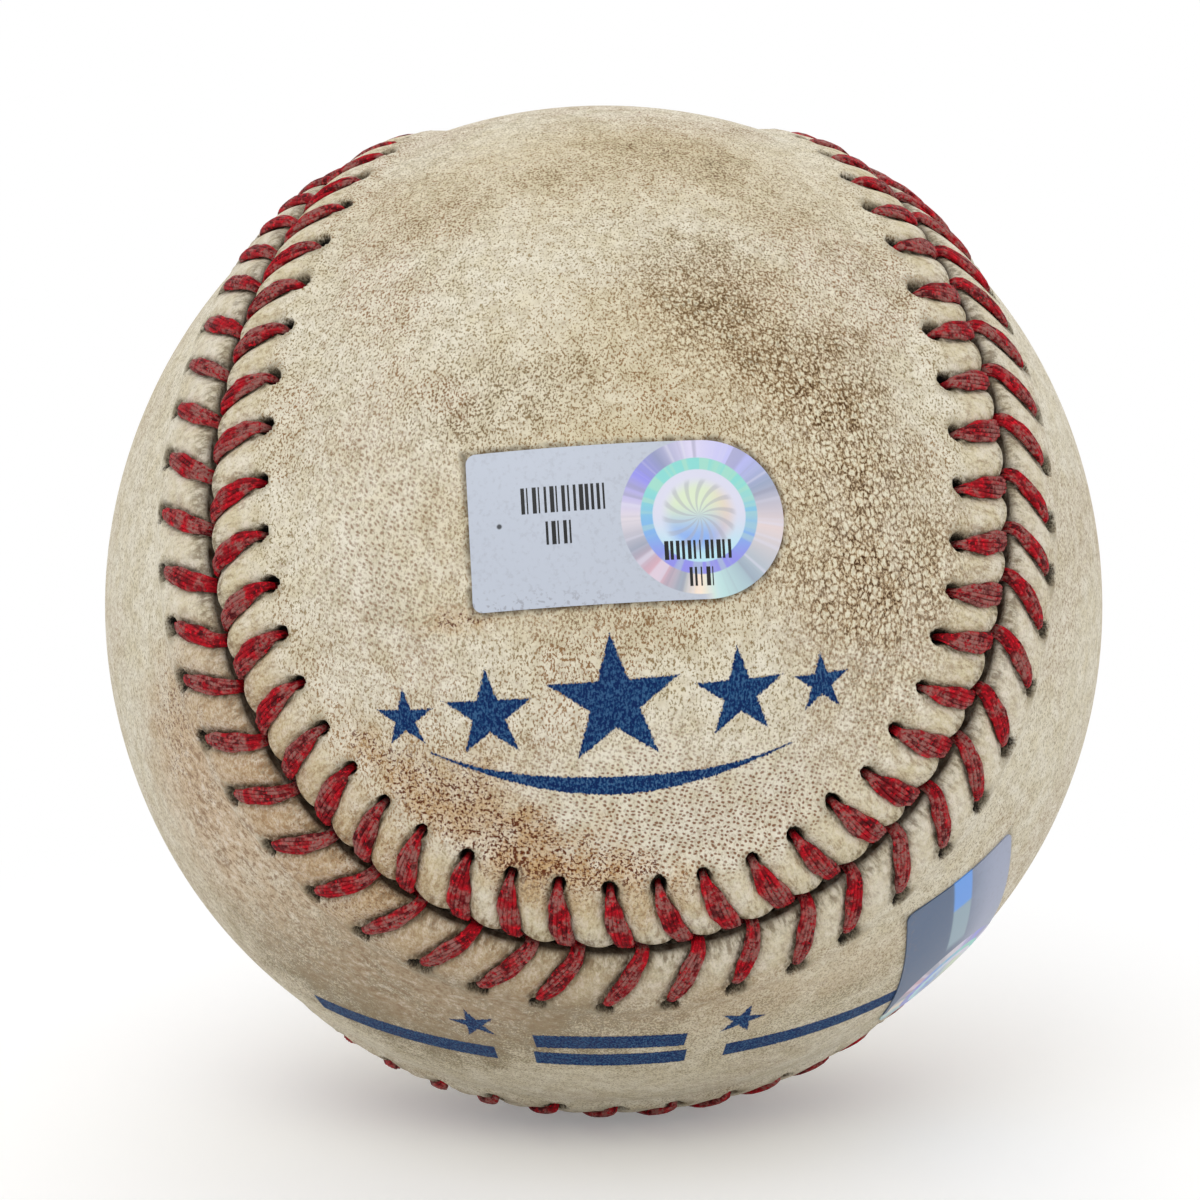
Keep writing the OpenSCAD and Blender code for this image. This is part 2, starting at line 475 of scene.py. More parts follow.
@dataclass
class StitchTable:
    """Small differences from one hand-made stitch to the next, for both sides."""

    count: int
    hole_set: float = 4.9
    seed: int = 21
    shift: Array = field(init=False)
    reach: Array = field(init=False)
    puff: Array = field(init=False)
    width: Array = field(init=False)
    lean: Array = field(init=False)
    edge: Array = field(init=False)
    hole: Array = field(init=False)
    skew: Array = field(init=False)

    def __post_init__(self) -> None:
        """Draws each stitch's own place, length, lean, width and hole."""
        rng = np.random.default_rng(self.seed)
        shape = (len(Side), self.count)
        self.shift = rng.normal(0.0, 0.035, shape)
        self.reach = self.hole_set + np.clip(rng.normal(0.0, 0.13, shape), -0.25, 0.25)
        self.puff = 1.0 + rng.normal(0.0, 0.16, shape)
        self.width = 1.0 + rng.normal(0.0, 0.06, shape)
        self.lean = rng.normal(0.0, 0.04, shape)
        self.edge = rng.normal(0.0, 0.05, shape)
        self.hole = rng.uniform(0.85, 1.2, shape)
        self.skew = rng.normal(0.0, 0.3, shape)


@dataclass(frozen=True)
class Relief:
    """How the leather of one panel is drawn up and pressed down along the seam, in millimetres."""

    lean: float
    bend: float
    puff: float
    groove: float
    droop: float
    edge_round: float
    edge_in: float
    scallop: float
    hole_half_w: float
    hole_half_l: float
    hole_beyond: float
    leg_widths: tuple[Pair, ...]
    margin_end: Pair = (5.3, 7.5)
    pillow_share: Pair = (0.22, 0.95)
    pillow_start: Pair = (0.1, 1.5)
    pillow_end: Pair = (3.0, 6.0)
    press_share: Pair = (0.2, 0.6)
    press_end: Pair = (4.3, 5.3)
    droop_end: Pair = (0.3, 2.6)
    scallop_share: Pair = (0.05, 0.9)
    hole_depth: float = 1.12

    def shear(self, distance: Level, reach: Level, lean: Level) -> Level:
        """How far a stitch has leant along the seam, in stitches, at a distance from the seam."""
        way = np.clip((reach - distance) / reach, 0.0, 1.0)
        return (self.lean + lean) * way ** self.bend

    def lifted(self, distance: Level, rise: float) -> Level:
        """Height to which the thread under the margin lifts it."""
        return rise * fall(*self.margin_end, distance)

    def height(self, distance: Level, share: Level, puff: Level, rise: float) -> Level:
        """Height of the leather's face over the ball.

        Args:
            distance: Distance from the seam's middle.
            share: Way from a stitch, 0, to halfway to the next one, 1.
            puff: How full the leather is there, about 1.
            rise: How far the thread under the margin lifts it.

        Returns:
            The heights, without the needle holes.
        """
        pillow = smooth(*self.pillow_share, share) * smooth(*self.pillow_start, distance)
        pillow = pillow * fall(*self.pillow_end, distance) * self.puff * puff
        pressed = fall(*self.press_share, share) * fall(*self.press_end, distance) * self.groove
        return self.lifted(distance, rise) + pillow - pressed - self.droop * fall(*self.droop_end, distance)

    def edge_at(self, share: Level, extra: Level) -> Level:
        """Distance of the panel's edge from the seam's middle."""
        return self.edge_in + extra * share - self.scallop * smooth(*self.scallop_share, share)


RELIEFS = {
    Side.A: Relief(
        lean=0.37, bend=1.5, puff=0.36, groove=0.14, droop=0.20,
        edge_round=0.80, edge_in=0.48, scallop=0.26, hole_half_w=0.56, hole_half_l=0.62, hole_beyond=0.26,
        leg_widths=((0.0, 0.55), (0.1, 0.95), (0.3, 1.5), (0.5, 1.72), (0.7, 1.62), (0.88, 1.25), (1.0, 0.9)),
    ),
    Side.B: Relief(
        lean=0.64, bend=1.0, puff=0.24, groove=0.12, droop=0.12,
        edge_round=0.55, edge_in=0.52, scallop=0.12, hole_half_w=0.58, hole_half_l=0.68, hole_beyond=0.42,
        leg_widths=((0.0, 0.5), (0.1, 0.88), (0.28, 1.28), (0.5, 1.45), (0.7, 1.36), (0.88, 1.12), (1.0, 0.9)),
    ),
}


@dataclass
class LeatherPanel:
    """One figure-eight leather panel, lifted and puckered along its stitched edge."""

    side: Side
    seam: SeamLine
    stitches: StitchTable
    sizes: BallSizes
    lumps: Lumps
    offsets: tuple[float, ...] = (0.0, 0.16, 0.32, 0.44, 0.56, 0.74, 0.98, 1.26, 1.56)
    near_rows: tuple[float, ...] = (
        0.06, 0.13, 0.21, 0.30, 0.39, 0.48, 0.57, 0.66, 0.745, 0.82, 0.88, 0.925, 0.965, 1.0,
    )
    far_rows: tuple[float, ...] = (0.05, 0.10, 0.155, 0.21, 0.27, 0.34, 0.42, 0.52, 0.65, 0.82, 1.0)
    round_rows: int = 5
    hole_wall: Pair = (0.72, 1.12)
    hole_shade_ring: Pair = (0.7, 1.3)
    lip_at: float = 1.35
    lip_spread: float = 0.25
    lip_height: float = 0.05
    hole_slant: float = 0.4
    torn_aside: float = 0.75
    torn_in: float = 0.3
    torn_squash: float = 1.1
    torn_rim: Pair = (0.75, 1.55)
    wear_band: Pair = (3.2, 6.2)
    mark_share: Pair = (0.3, 0.58)
    mark_end: Pair = (-0.3, 0.4)
    far_off: float = 9.0
    band_w: float = 7.7
    foot_w: float = 0.6
    clear_share: float = 0.6
    face_spacing: float = 0.85
    back_spacing: float = 1.7
    merge: float = 0.003

    @property
    def relief(self) -> Relief:
        """The relief of this panel's side."""
        return RELIEFS[self.side]

    def columns(self) -> dict[str, Array]:
        """Works out every column of the band along the seam.

        Returns:
            Each column's stitch, offset from it and the blended differences between stitches.
        """
        half = self.seam.pitch / 2
        right = np.array(self.offsets)
        offsets = np.concatenate([-right[:0:-1], right, [half]])
        count = self.seam.stitches
        stitch = np.repeat(np.arange(count), len(offsets))
        offset = np.tile(offsets, count)
        beyond = (stitch + np.where(offset < 0, -1, 1)) % count
        share = np.abs(offset) / half
        row = self.side.row

        def blended(table: Array) -> Array:
            """Goes from a stitch's own value halfway to its neighbour's."""
            own = table[row][stitch]
            return own + (table[row][beyond] - own) * share / 2

        return {
            "stitch": stitch, "offset": offset, "share": share,
            **{name: getattr(self.stitches, name)[row][stitch] for name in ("hole", "skew")},
            **{name: blended(getattr(self.stitches, name)) for name in ("shift", "reach", "puff", "lean", "edge")},
        }

    def band(self) -> tuple[Array, dict[str, Array]]:
        """Lays out the stitched margin, from the foot of its edge to where it lies flat.

        Returns:
            Rows and columns of points in millimetres, and what their finish reads.
        """
        relief, sizes, c = self.relief, self.sizes, self.columns()
        edge = relief.edge_at(c["share"], c["edge"])
        start = edge + relief.edge_round
        top = sizes.leather + relief.height(start, c["share"], c["puff"], sizes.rise)
        foot = np.full_like(top, sizes.cotton + sizes.rise)
        distances, radii = [edge, edge], [foot, (foot + top - relief.edge_round) / 2]
        gaps = [1.0, 1.0]
        for row in range(self.round_rows):
            angle = math.pi / 2 * row / self.round_rows
            distances.append(start - relief.edge_round * math.cos(angle))
            radii.append(top - relief.edge_round * (1.0 - math.sin(angle)))
            gaps.append((1.0 - math.sin(angle)) ** 1.5)
        rows = [start + (c["reach"] - start) * way for way in (0.0, *self.near_rows)]
        rows += [c["reach"] + (self.band_w - c["reach"]) * way for way in self.far_rows]
        for distance in rows:
            distances.append(distance)
            radii.append(sizes.leather + relief.height(distance, c["share"], c["puff"], sizes.rise))
            gaps.append(0.0)
        distance, radius = np.stack(distances), np.stack(radii)
        gap = np.repeat(np.array(gaps)[:, None], distance.shape[1], axis=1)
        deep = (distance - c["reach"] - relief.hole_beyond) / (relief.hole_half_l * c["hole"])
        across = c["offset"] / (relief.hole_half_w * c["hole"]) + c["skew"] * deep * self.hole_slant
        open_rows = distance >= start
        ring = np.where(open_rows, np.hypot(across, deep), self.far_off)
        lip = self.lip_height * np.exp(-((ring - self.lip_at) / self.lip_spread) ** 2)
        radius = radius - relief.hole_depth * fall(*self.hole_wall, ring) + lip
        # Mask of the needle hole's painted shade, 1 in its depth and 0 just past its rim.
        hole = fall(*self.hole_shade_ring, ring)
        aside = np.where(c["skew"] < 0.0, -self.torn_aside, self.torn_aside)
        tear = np.where(open_rows, np.hypot(across - aside, (deep - self.torn_in) * self.torn_squash), self.far_off)
        torn = fall(*self.torn_rim, tear)
        beyond = distance - c["reach"]
        # Mask of the groove beside each stitch, up to just past its hole, where painted shade and some grime darken
        # the leather.
        stitch_grime_and_shade = fall(*self.mark_share, c["share"]) * fall(*self.mark_end, beyond) * (1.0 - gap)
        wear = fall(*self.wear_band, distance) * (1.0 - gap)
        place = c["stitch"] + c["shift"] + c["offset"] / self.seam.pitch
        places = place[None, :] + relief.shear(distance, c["reach"][None, :], c["lean"][None, :])
        ways = self.seam.beside(places, distance * self.side.value)
        lumps = self.lumps.at(ways, sizes.leather)
        lumps[0] = 0.0
        round_seam = places * (math.tau / self.seam.stitches)
        bow = self.seam.pitch * self.seam.stitches / math.tau
        seam = np.stack([np.cos(round_seam) * bow, np.sin(round_seam) * bow, distance], axis=-1)
        marks = {"gap": gap, "hole": hole, "torn": torn, "stitch_grime_and_shade": stitch_grime_and_shade, "wear": wear, "seam": seam}
        return ways * (radius + lumps)[..., None], marks

    def flatten(self, directions: Array) -> Array:
        """Turns directions into flat places along the panel's middle and across it.

        Args:
            directions: Directions from the ball's centre.

        Returns:
            The flat places, in millimetres.
        """
        v = directions @ self.seam.axes * (1.0, self.side.value, self.side.value)
        half = math.sqrt(0.5)
        along = np.arctan2((v[:, 0] - v[:, 1]) * half, v[:, 2])
        across = np.arcsin(np.clip((v[:, 0] + v[:, 1]) * half, -1.0, 1.0))
        return np.stack([along, across], axis=-1) * self.seam.radius

    def unflatten(self, places: Array) -> Array:
        """Turns flat places on the panel back into directions.

        Args:
            places: Flat places, in millimetres.

        Returns:
            The directions from the ball's centre.
        """
        along, across = (places / self.seam.radius).T
        run, side, half = np.sin(along) * np.cos(across), np.sin(across), math.sqrt(0.5)
        v = np.stack([(run + side) * half, (side - run) * half, np.cos(along) * np.cos(across)], -1)
        return (v * (1.0, self.side.value, self.side.value)) @ self.seam.axes.T

    def skin(self, name: str, loop: Array, spacing: float, back: bool) -> Piece:
        """Fills a closed row of the band with one skin of the leather.

        Args:
            name: Name of the part.
            loop: Points of the row, in millimetres.
            spacing: Distance between the skin's corners.
            back: Whether it is the side against the winding.

        Returns:
            The skin.
        """
        outline = self.flatten(unit(loop))
        reach = np.abs(outline).max(axis=0)
        inside = hex_places((reach[0], reach[1]), spacing)
        depth = self.seam.distance(self.unflatten(inside), self.side)
        least = (self.foot_w if back else self.band_w) + spacing * self.clear_share
        flat, faces = fill_outline(outline, inside[depth > least])
        ways = self.unflatten(flat)
        if back:
            depth = self.seam.distance(ways, self.side)
            radius = self.sizes.cotton + self.relief.lifted(depth, self.sizes.rise)
        else:
            radius = self.sizes.leather + self.lumps.at(ways, self.sizes.leather)
        return new_mesh(name, ways * radius[:, None], faces)

    def build(self, name: str) -> Piece:
        """Builds the panel as one closed piece.

        Args:
            name: Name of the piece.

        Returns:
            The panel.
        """
        points, marks = self.band()
        band = lay_grid(name, np.concatenate([points, points[:, :1]], axis=1))
        for key, values in marks.items():
            mark(band, key, np.concatenate([values, values[:, :1]], axis=1))
        face = self.skin(name + "_face", points[-1], self.face_spacing, back=False)
        back = self.skin(name + "_back", points[0], self.back_spacing, back=True)
        panel = join(name, [band, face, back])
        close_up(panel, self.merge)
        return panel


@dataclass
class SeamThread:
    """One arm of the waxed thread: a flat bundle of strands that crosses over and under the leather."""

    first: Side
    seam: SeamLine
    stitches: StitchTable
    sizes: BallSizes
    lumps: Lumps
    strands: int = 9
    sides: int = 5
    strand_base: float = 0.08
    strand_share: float = 0.06
    lay_pitch: float = 21.0
    clear: float = 0.02
    tuck_r_share: float = 0.62
    thickness: tuple[Pair, ...] = ((0.0, 0.5), (0.15, 0.56), (0.5, 0.68), (0.85, 0.56), (1.0, 0.45))
    hole_rows: tuple[Pair, ...] = ((0.02, -0.62), (0.10, -0.25), (0.32, 0.05), (0.72, 0.22))
    leg_rows: tuple[float, ...] = (0.27, 0.40, 0.53, 0.64)
    edge_angles: tuple[float, ...] = (90.0, 62.0, 36.0, 12.0)
    under_rows: tuple[float, ...] = (0.34, 0.68)
    entry_lift: float = 0.15
    exit_lift: float = 0.2
    least_w: float = 0.02
    least_t: float = 0.03
    size_range: Pair = (0.9, 1.08)
    merge: float = 0.0005
    seed: int = 3

    def side_at(self, stitch: int) -> Side:
        """Side of the seam on which a stitch has its needle hole."""
        return self.first if stitch % 2 == 0 else self.first.other

    def leg(self, stitch: int) -> list[Ring]:
        """Follows one leg from its needle hole over the leather and down into the seam.

        Args:
            stitch: Number of the stitch.

        Returns:
            Rings, each with its place, signed distance, height over the ball, width and thickness.
        """
        side = self.side_at(stitch)
        relief, row = RELIEFS[side], side.row
        reach = self.stitches.reach[row, stitch]
        lean = self.stitches.lean[row, stitch]
        wide = self.stitches.width[row, stitch]
        place = stitch + self.stitches.shift[row, stitch]
        edge = relief.edge_at(0.0, 0.0)
        start = edge + relief.edge_round
        tuck = self.tuck_r_share * (self.sizes.cotton + self.sizes.rise - self.sizes.leather)
        tuck += (1.0 - self.tuck_r_share) * (self.sizes.cotton - self.sizes.leather)
        width_ways, width_values = zip(*relief.leg_widths)
        thick_ways, thick_values = zip(*self.thickness)

        def face(distance: float) -> float:
            """Height of the leather under the leg."""
            return float(relief.height(distance, 0.0, 1.0, self.sizes.rise))

        def ring(distance: float, height: float) -> Ring:
            """One ring of the leg, at a distance from the seam.

            Args:
                distance: Distance from the seam.
                height: Height over the ball.

            Returns:
                The ring.
            """
            way = (reach - distance) / reach
            shear = float(relief.shear(distance, reach, lean))
            width = float(np.interp(way, width_ways, width_values)) * wide
            thick = float(np.interp(way, thick_ways, thick_values))
            return (place + shear, side.value * distance, height, width, thick)

        rings = [ring(reach, tuck + self.entry_lift)]
        rings += [ring(reach - into, face(reach - into) + up) for into, up in self.hole_rows]
        for way in self.leg_rows:
            distance = reach * (1.0 - way)
            lift = float(np.interp(way, thick_ways, thick_values)) / 2 + self.clear
            rings.append(ring(distance, face(distance) + lift))
        top = face(start)
        for angle in np.radians(self.edge_angles):
            lift = thick_values[-2] / 2 + self.clear
            round_r = relief.edge_round + lift
            rings.append(ring(start - round_r * math.cos(angle), top - relief.edge_round + round_r * math.sin(angle)))
        rings.append(ring(edge - thick_values[-1] / 2, tuck + self.exit_lift))
        after = self.side_at(stitch + 1)
        onward = (stitch + 1) % self.seam.stitches
        ahead = stitch + 1 + self.stitches.shift[after.row, onward]
        ahead_reach = self.stitches.reach[after.row, onward]
        end_place, end_distance = rings[-1][0], rings[-1][1]
        for way in self.under_rows:
            rings.append((
                end_place + (ahead - end_place) * way,
                end_distance + (after.value * ahead_reach - end_distance) * way,
                tuck, width_values[-1], thick_values[-1],
            ))
        return rings

    def centre_line(self) -> Line:
        """Follows the whole arm round the ball.

        Returns:
            The middle points, the directions along the seam, the widths and the thicknesses.
        """
        rings = np.array([ring for i in range(self.seam.stitches) for ring in self.leg(i)])
        place, distance, height, width, thick = rings.T
        ways = self.seam.beside(place, distance)
        radius = self.sizes.leather + height + self.lumps.at(ways, self.sizes.leather)
        return ways * radius[:, None], self.seam.along(place), width, thick

    def strand(self, name: str, number: int, line: Line, size: float) -> Piece:
        """Builds one strand of the bundle as a bent tube.

        Args:
            name: Name of the part.
            number: Number of the strand.
            line: The bundle's middle points, sideways directions, widths and thicknesses.
            size: How thick this strand is beside the others, about 1.

        Returns:
            The strand, open where its edges meet.
        """
        points, sideways, width, thick = line
        run = unit(np.gradient(points, axis=0))
        wide = square_to(sideways, run)
        outward = np.cross(wide, run)
        length = lengths_along(points)
        radius = (self.strand_base + self.strand_share * width) * size
        turn = np.mod(number / self.strands + length / self.lay_pitch, 1.0)
        across = np.where(turn < 0.5, 4.0 * turn - 1.0, 3.0 - 4.0 * turn)
        up = np.where(turn < 0.5, 1.0, -1.0) * np.sqrt(np.clip(1.0 - across ** 2, 0.0, 1.0))
        out_w = np.maximum(width / 2 - radius, self.least_w)[:, None]
        out_t = np.maximum(thick / 2 - radius, self.least_t)[:, None]
        path = points + wide * across[:, None] * out_w + outward * up[:, None] * out_t
        way = unit(np.gradient(path, axis=0))
        first = square_to(wide, way)
        second = np.cross(way, first)
        angles = np.linspace(0.0, math.tau, self.sides + 1)
        ring = np.cos(angles)[None, :, None] * first[:, None, :] + np.sin(angles)[None, :, None] * second[:, None, :]
        tube = path[:, None, :] + radius[:, None, None] * ring
        part = lay_grid(f"{name}_{number}", tube)
        shape = tube.shape[:2]
        mark(part, "strand", np.full(shape, float(number)))
        mark(part, "along", np.repeat(length[:, None], shape[1], axis=1))
        return part

    def build(self, name: str) -> Piece:
        """Builds the arm as one piece of closed strands.

        Args:
            name: Name of the piece.

        Returns:
            The arm.
        """
        rng = np.random.default_rng(self.seed + self.first.row)
        line = self.centre_line()
        sizes = rng.uniform(*self.size_range, self.strands)
        parts = [self.strand(name, k, line, sizes[k]) for k in range(self.strands)]
        thread = join(name, parts)
        close_up(thread, self.merge, end_sides=self.sides)
        return thread


@dataclass(frozen=True)
class LabelPlace:
    """Where a label is stuck on the ball, in degrees, and its flat size in millimetres."""

    node: str
    turn: float
    tilt: float
    roll: float
    length: float = 20.0
    height: float = 10.2

    @property
    def axes(self) -> Matrix:
        """The label's right, up and outward directions."""
        return facing(self.turn, self.tilt, self.roll)


FRONT_LABEL = LabelPlace("front_label", 2.5, 15.0, 2.0)
SIDE_LABEL = LabelPlace("side_label", 57.5, -39.0, -52.0)
LABELS = (FRONT_LABEL, SIDE_LABEL)


@dataclass
class LabelSheet:
    """A thin label stuck on the leather, with a round right end."""

    place: LabelPlace
    sizes: BallSizes
    lumps: Lumps
    corner: float = 0.65
    spacing: float = 0.45
    gap: float = 0.01
    corner_lift: float = 0.07
    merge: float = 0.001
    lift_reach: float = 2.5
    end_points: int = 70
    long_points: int = 50
    side_points: int = 30
    corner_points: int = 8
    smooth_angle: float = 40.0

    def outline(self) -> Array:
        """Points round the label's flat outline, in millimetres.

        Returns:
            The points, in order.
        """
        left, high = -self.place.length / 2, self.place.height / 2
        middle = self.place.length / 2 - high
        end = np.linspace(-math.pi / 2, math.pi / 2, self.end_points)
        straight = np.linspace(middle, left + self.corner, self.long_points)[1:-1]
        side = np.linspace(high - self.corner, self.corner - high, self.side_points)[1:-1]
        turn = np.linspace(math.pi / 2, math.pi, self.corner_points)
        bow = np.stack([np.cos(turn), np.sin(turn)], -1) * self.corner
        top = np.stack([straight, np.full_like(straight, high)], -1)
        return np.concatenate([
            np.stack([middle + high * np.cos(end), high * np.sin(end)], -1),
            top,
            bow + (left + self.corner, high - self.corner),
            np.stack([np.full_like(side, left), side], -1),
            bow[::-1] * (1.0, -1.0) + (left + self.corner, self.corner - high),
            top[::-1] * (1.0, -1.0),
        ])

    def within(self, points: Array) -> Array:
        """Which flat points lie well inside the outline.

        Args:
            points: Flat points, in millimetres.

        Returns:
            Whether each of them does.
        """
        slack, high = self.spacing * 0.5, self.place.height / 2
        beyond = np.maximum(points[:, 0] - self.place.length / 2 + high, 0.0)
        fits = np.hypot(beyond, points[:, 1]) < high - slack
        return fits & (points[:, 0] > -self.place.length / 2 + slack)

    def build(self, name: str) -> Piece:
        """Builds the label as a closed sheet on the leather.

        Args:
            name: Name of the piece.

        Returns:
            The label.
        """
        half_l, half_h = self.place.length / 2, self.place.height / 2
        inside = hex_places((half_l, half_h), self.spacing)
        flat, faces = fill_outline(self.outline(), inside[self.within(inside)])
        level = np.sqrt(self.sizes.leather ** 2 - np.sum(flat ** 2, axis=1))
        ways = unit(np.concatenate([flat, level[:, None]], axis=1) @ np.array(self.place.axes).T)
        worn = np.hypot(flat[:, 0] + half_l, flat[:, 1] + half_h)
        lift = self.corner_lift * fall(0.0, self.lift_reach, worn)
        radius = self.sizes.leather + self.lumps.at(ways, self.sizes.leather) + self.gap + lift
        label = new_mesh(name, ways * radius[:, None], faces)
        close_up(label, self.merge)
        thick = label.modifiers.new("thickness", "SOLIDIFY")
        thick.thickness = (self.sizes.label - self.sizes.leather) * MM
        thick.offset = 1.0
        pick(label)
        bpy.ops.object.modifier_apply(modifier=thick.name)
        bpy.ops.object.shade_smooth_by_angle(angle=math.radians(self.smooth_angle))
        return label


class Tree:
    """One material's nodes, or the world's, with short calls for those that the finishes share."""

    def __init__(self, name: str, world: bpy.types.World | None = None) -> None:
        """Starts a new material with its shader, or takes up a world's.

        Args:
            name: Name of the material.
            world: World to take up instead.
        """
        self.material = world or bpy.data.materials.new(name)
        self.material.use_nodes = True
        self.nodes = self.material.node_tree.nodes
        self.links = self.material.node_tree.links
        self.shader = self.nodes["Background" if world else "Principled BSDF"]
        self.colour: object = None

    def add(self, kind: str, inputs: dict | None = None, **settings: object) -> bpy.types.Node:
        """Adds a node.

        Args:
            kind: The node's type.
            inputs: Values or sockets for its inputs, by name or number.
            settings: Its properties.

        Returns:
            The node.
        """
        node = self.nodes.new(kind)
        for key, value in settings.items():
            setattr(node, key, value)
        for key, value in (inputs or {}).items():
            self.feed(node.inputs[key], value)
        return node

    def feed(self, socket: Socket, value: object) -> None:
        """Links a socket to another, or sets its value.

        Args:
            socket: The input.
            value: A socket or a plain value.
        """
        if isinstance(value, bpy.types.NodeSocket):
            self.links.new(value, socket)
        else:
            socket.default_value = value

    def set(self, **inputs: object) -> None:
        """Feeds the shader's inputs, named with underscores for spaces."""
        for key, value in inputs.items():
            self.feed(self.shader.inputs[key.replace("_", " ")], value)

    def math(self, operation: str, first: object, second: object = 0.0, clamp: bool = False) -> Socket:
        """Adds a sum."""
        node = self.add("ShaderNodeMath", {0: first, 1: second}, operation=operation, use_clamp=clamp)
        return node.outputs[0]

    def plus(self, first: object, second: object) -> Socket:
        """Adds two numbers."""
        return self.math("ADD", first, second)

    def minus(self, first: object, second: object) -> Socket:
        """Takes the second number from the first."""
        return self.math("SUBTRACT", first, second)

    def held(self, first: object, second: object) -> Socket:
        """Multiplies two numbers and holds the result between 0 and 1."""
        return self.math("MULTIPLY", first, second, clamp=True)

    def times(self, *factors: object) -> Socket:
        """Multiplies numbers."""
        return reduce(partial(self.math, "MULTIPLY"), factors)

    def most(self, *values: object) -> Socket:
        """The greatest of some numbers."""
        return reduce(partial(self.math, "MAXIMUM"), values)

    def length(self, x: Socket, y: Socket) -> Socket:
        """Length of a flat vector."""
        return self.math("SQRT", self.plus(self.times(x, x), self.times(y, y)))

    def rise(self, value: object, low: float, high: float, start: float = 0.0, end: float = 1.0) -> Socket:
        """Goes smoothly from start to end as a value goes from low to high."""
        inputs = {"Value": value, "From Min": low, "From Max": high, "To Min": start, "To Max": end}
        return self.add("ShaderNodeMapRange", inputs, interpolation_type="SMOOTHSTEP").outputs[0]

    def fall(self, value: object, low: float, high: float) -> Socket:
        """Falls smoothly from 1 to 0 as a value goes from low to high."""
        return self.rise(value, low, high, 1.0, 0.0)

    def cut(self, value: object, limit: float, soft: float = 0.04, below: float = 1.0) -> Socket:
        """Goes sharply from a share below a limit to the opposite share above it."""
        return self.rise(value, limit - soft, limit + soft, below, 1.0 - below)

    def own_side(self, outward: Socket) -> Socket:
        """1 on a spot's own side of the ball and 0 on the far side."""
        return self.rise(outward, 0.0, 5.0)

    def mix(self, factor: object, first: object, second: object) -> Socket:
        """Mixes two colours."""
        return self.add("ShaderNodeMix", {0: factor, 6: first, 7: second}, data_type="RGBA").outputs[2]

    def coat(self, tint: object, *shares: object) -> None:
        """Lays a tint over the colour so far, as thick as the product of the shares."""
        self.colour = self.mix(self.times(*shares), self.colour, tint)

    def vectors(self, operation: str, *inputs: object, output: int | str = 0) -> Socket:
        """Adds a sum of vectors."""
        return self.add("ShaderNodeVectorMath", dict(enumerate(inputs)), operation=operation).outputs[output]

    def coords(self) -> Socket:
        """The surface's place in the ball's axes, in millimetres."""
        place = self.add("ShaderNodeTexCoord").outputs["Object"]
        return self.add("ShaderNodeVectorMath", {0: place, "Scale": 1.0 / MM}, operation="SCALE").outputs[0]

    def shifted(self, place: Socket, scale: float, amount: float) -> Socket:
        """Moves a place about by noise, so that patterns on it run unevenly."""
        noise = self.add("ShaderNodeTexNoise", {"Vector": place, "Scale": scale, "Detail": 2.0}).outputs["Color"]
        return self.vectors("ADD", place, self.vectors("MULTIPLY_ADD", noise, (amount,) * 3, (-amount / 2,) * 3))

    def noise(self, place: Socket, scale: float, detail: float = 2.0, rough: float = 0.5) -> Socket:
        """Noise from 0 to 1, with its scale in turns per millimetre."""
        inputs = {"Vector": place, "Scale": scale, "Detail": detail, "Roughness": rough}
        return self.add("ShaderNodeTexNoise", inputs).outputs["Fac"]

    def cells(self, place: Socket, scale: float, random: float = 1.0, **settings: str) -> Socket:
        """Distance in a pattern of cells, with its scale in cells per millimetre."""
        inputs = {"Vector": place, "Scale": scale, "Randomness": random}
        return self.add("ShaderNodeTexVoronoi", inputs, **settings).outputs["Distance"]

    def local(self, place: Socket, axes: Matrix, sizes: tuple = (1, 1, 1), centre: tuple = (0, 0, 0)) -> Socket:
        """Places in a spot's own axes, in shares of its sizes."""
        inputs = {"Vector": place, "Location": centre, "Rotation": tuple(axes.to_euler("XYZ")), "Scale": sizes}
        return self.add("ShaderNodeMapping", inputs, vector_type="TEXTURE").outputs[0]

    def parts(self, vector: Socket) -> tuple[Socket, Socket, Socket]:
        """The three parts of a vector."""
        node = self.add("ShaderNodeSeparateXYZ", {0: vector})
        return node.outputs[0], node.outputs[1], node.outputs[2]

    def point(self, *parts: object) -> Socket:
        """Puts a vector together from its parts."""
        return self.add("ShaderNodeCombineXYZ", dict(enumerate(parts))).outputs[0]

    def kept(self, name: str, output: str = "Fac") -> Socket:
        """A number or a vector kept on the mesh."""
        return self.add("ShaderNodeAttribute", attribute_name=name).outputs[output]

    def random(self, number: Socket) -> Socket:
        """A random share for each whole number."""
        return self.add("ShaderNodeTexWhiteNoise", {"W": number}, noise_dimensions="1D").outputs["Value"]

    def stretch(self, place: Socket, factors: tuple[float, float, float]) -> Socket:
        """Scales a place by a factor along each axis."""
        return self.vectors("MULTIPLY", place, factors)

    def ramp(self, value: Socket, *stops: tuple[float, tuple]) -> Socket:
        """Turns a number from 0 to 1 into a colour between stops.

        Args:
            value: The number.
            stops: Where each colour stands, and the colour.

        Returns:
            The colour.
        """
        node = self.add("ShaderNodeValToRGB", {0: value})
        stop_list = node.color_ramp.elements
        for _ in stops[2:]:
            stop_list.new(1.0)
        for stop, (at, colour) in zip(stop_list, stops):
            stop.position = at
            stop.color = colour
        return node.outputs[0]

    def bump(self, height: Socket, strength: float, distance: float) -> None:
        """Raises the surface by a height in shares of a distance in millimetres."""
        inputs = {"Height": height, "Strength": strength, "Distance": distance * MM}
        self.set(Normal=self.add("ShaderNodeBump", inputs).outputs[0])


class Mood(Enum):
    """What a stain does to the leather."""

    CLOUD = "brown cloud"
    HALO = "tan patch"
    PORE = "pores filled with dirt"
    PEBBLE = "grain that stands out"
    SPECK = "red-brown specks"
    SCUFF = "scuffed fibres"
    INK = "stray specks of blue"


@dataclass(frozen=True)
class Stain:
    """A stained or worn place on the leather."""

    turn: float
    tilt: float
    width: float
    height: float
    strength: float
    roll: float = 0.0


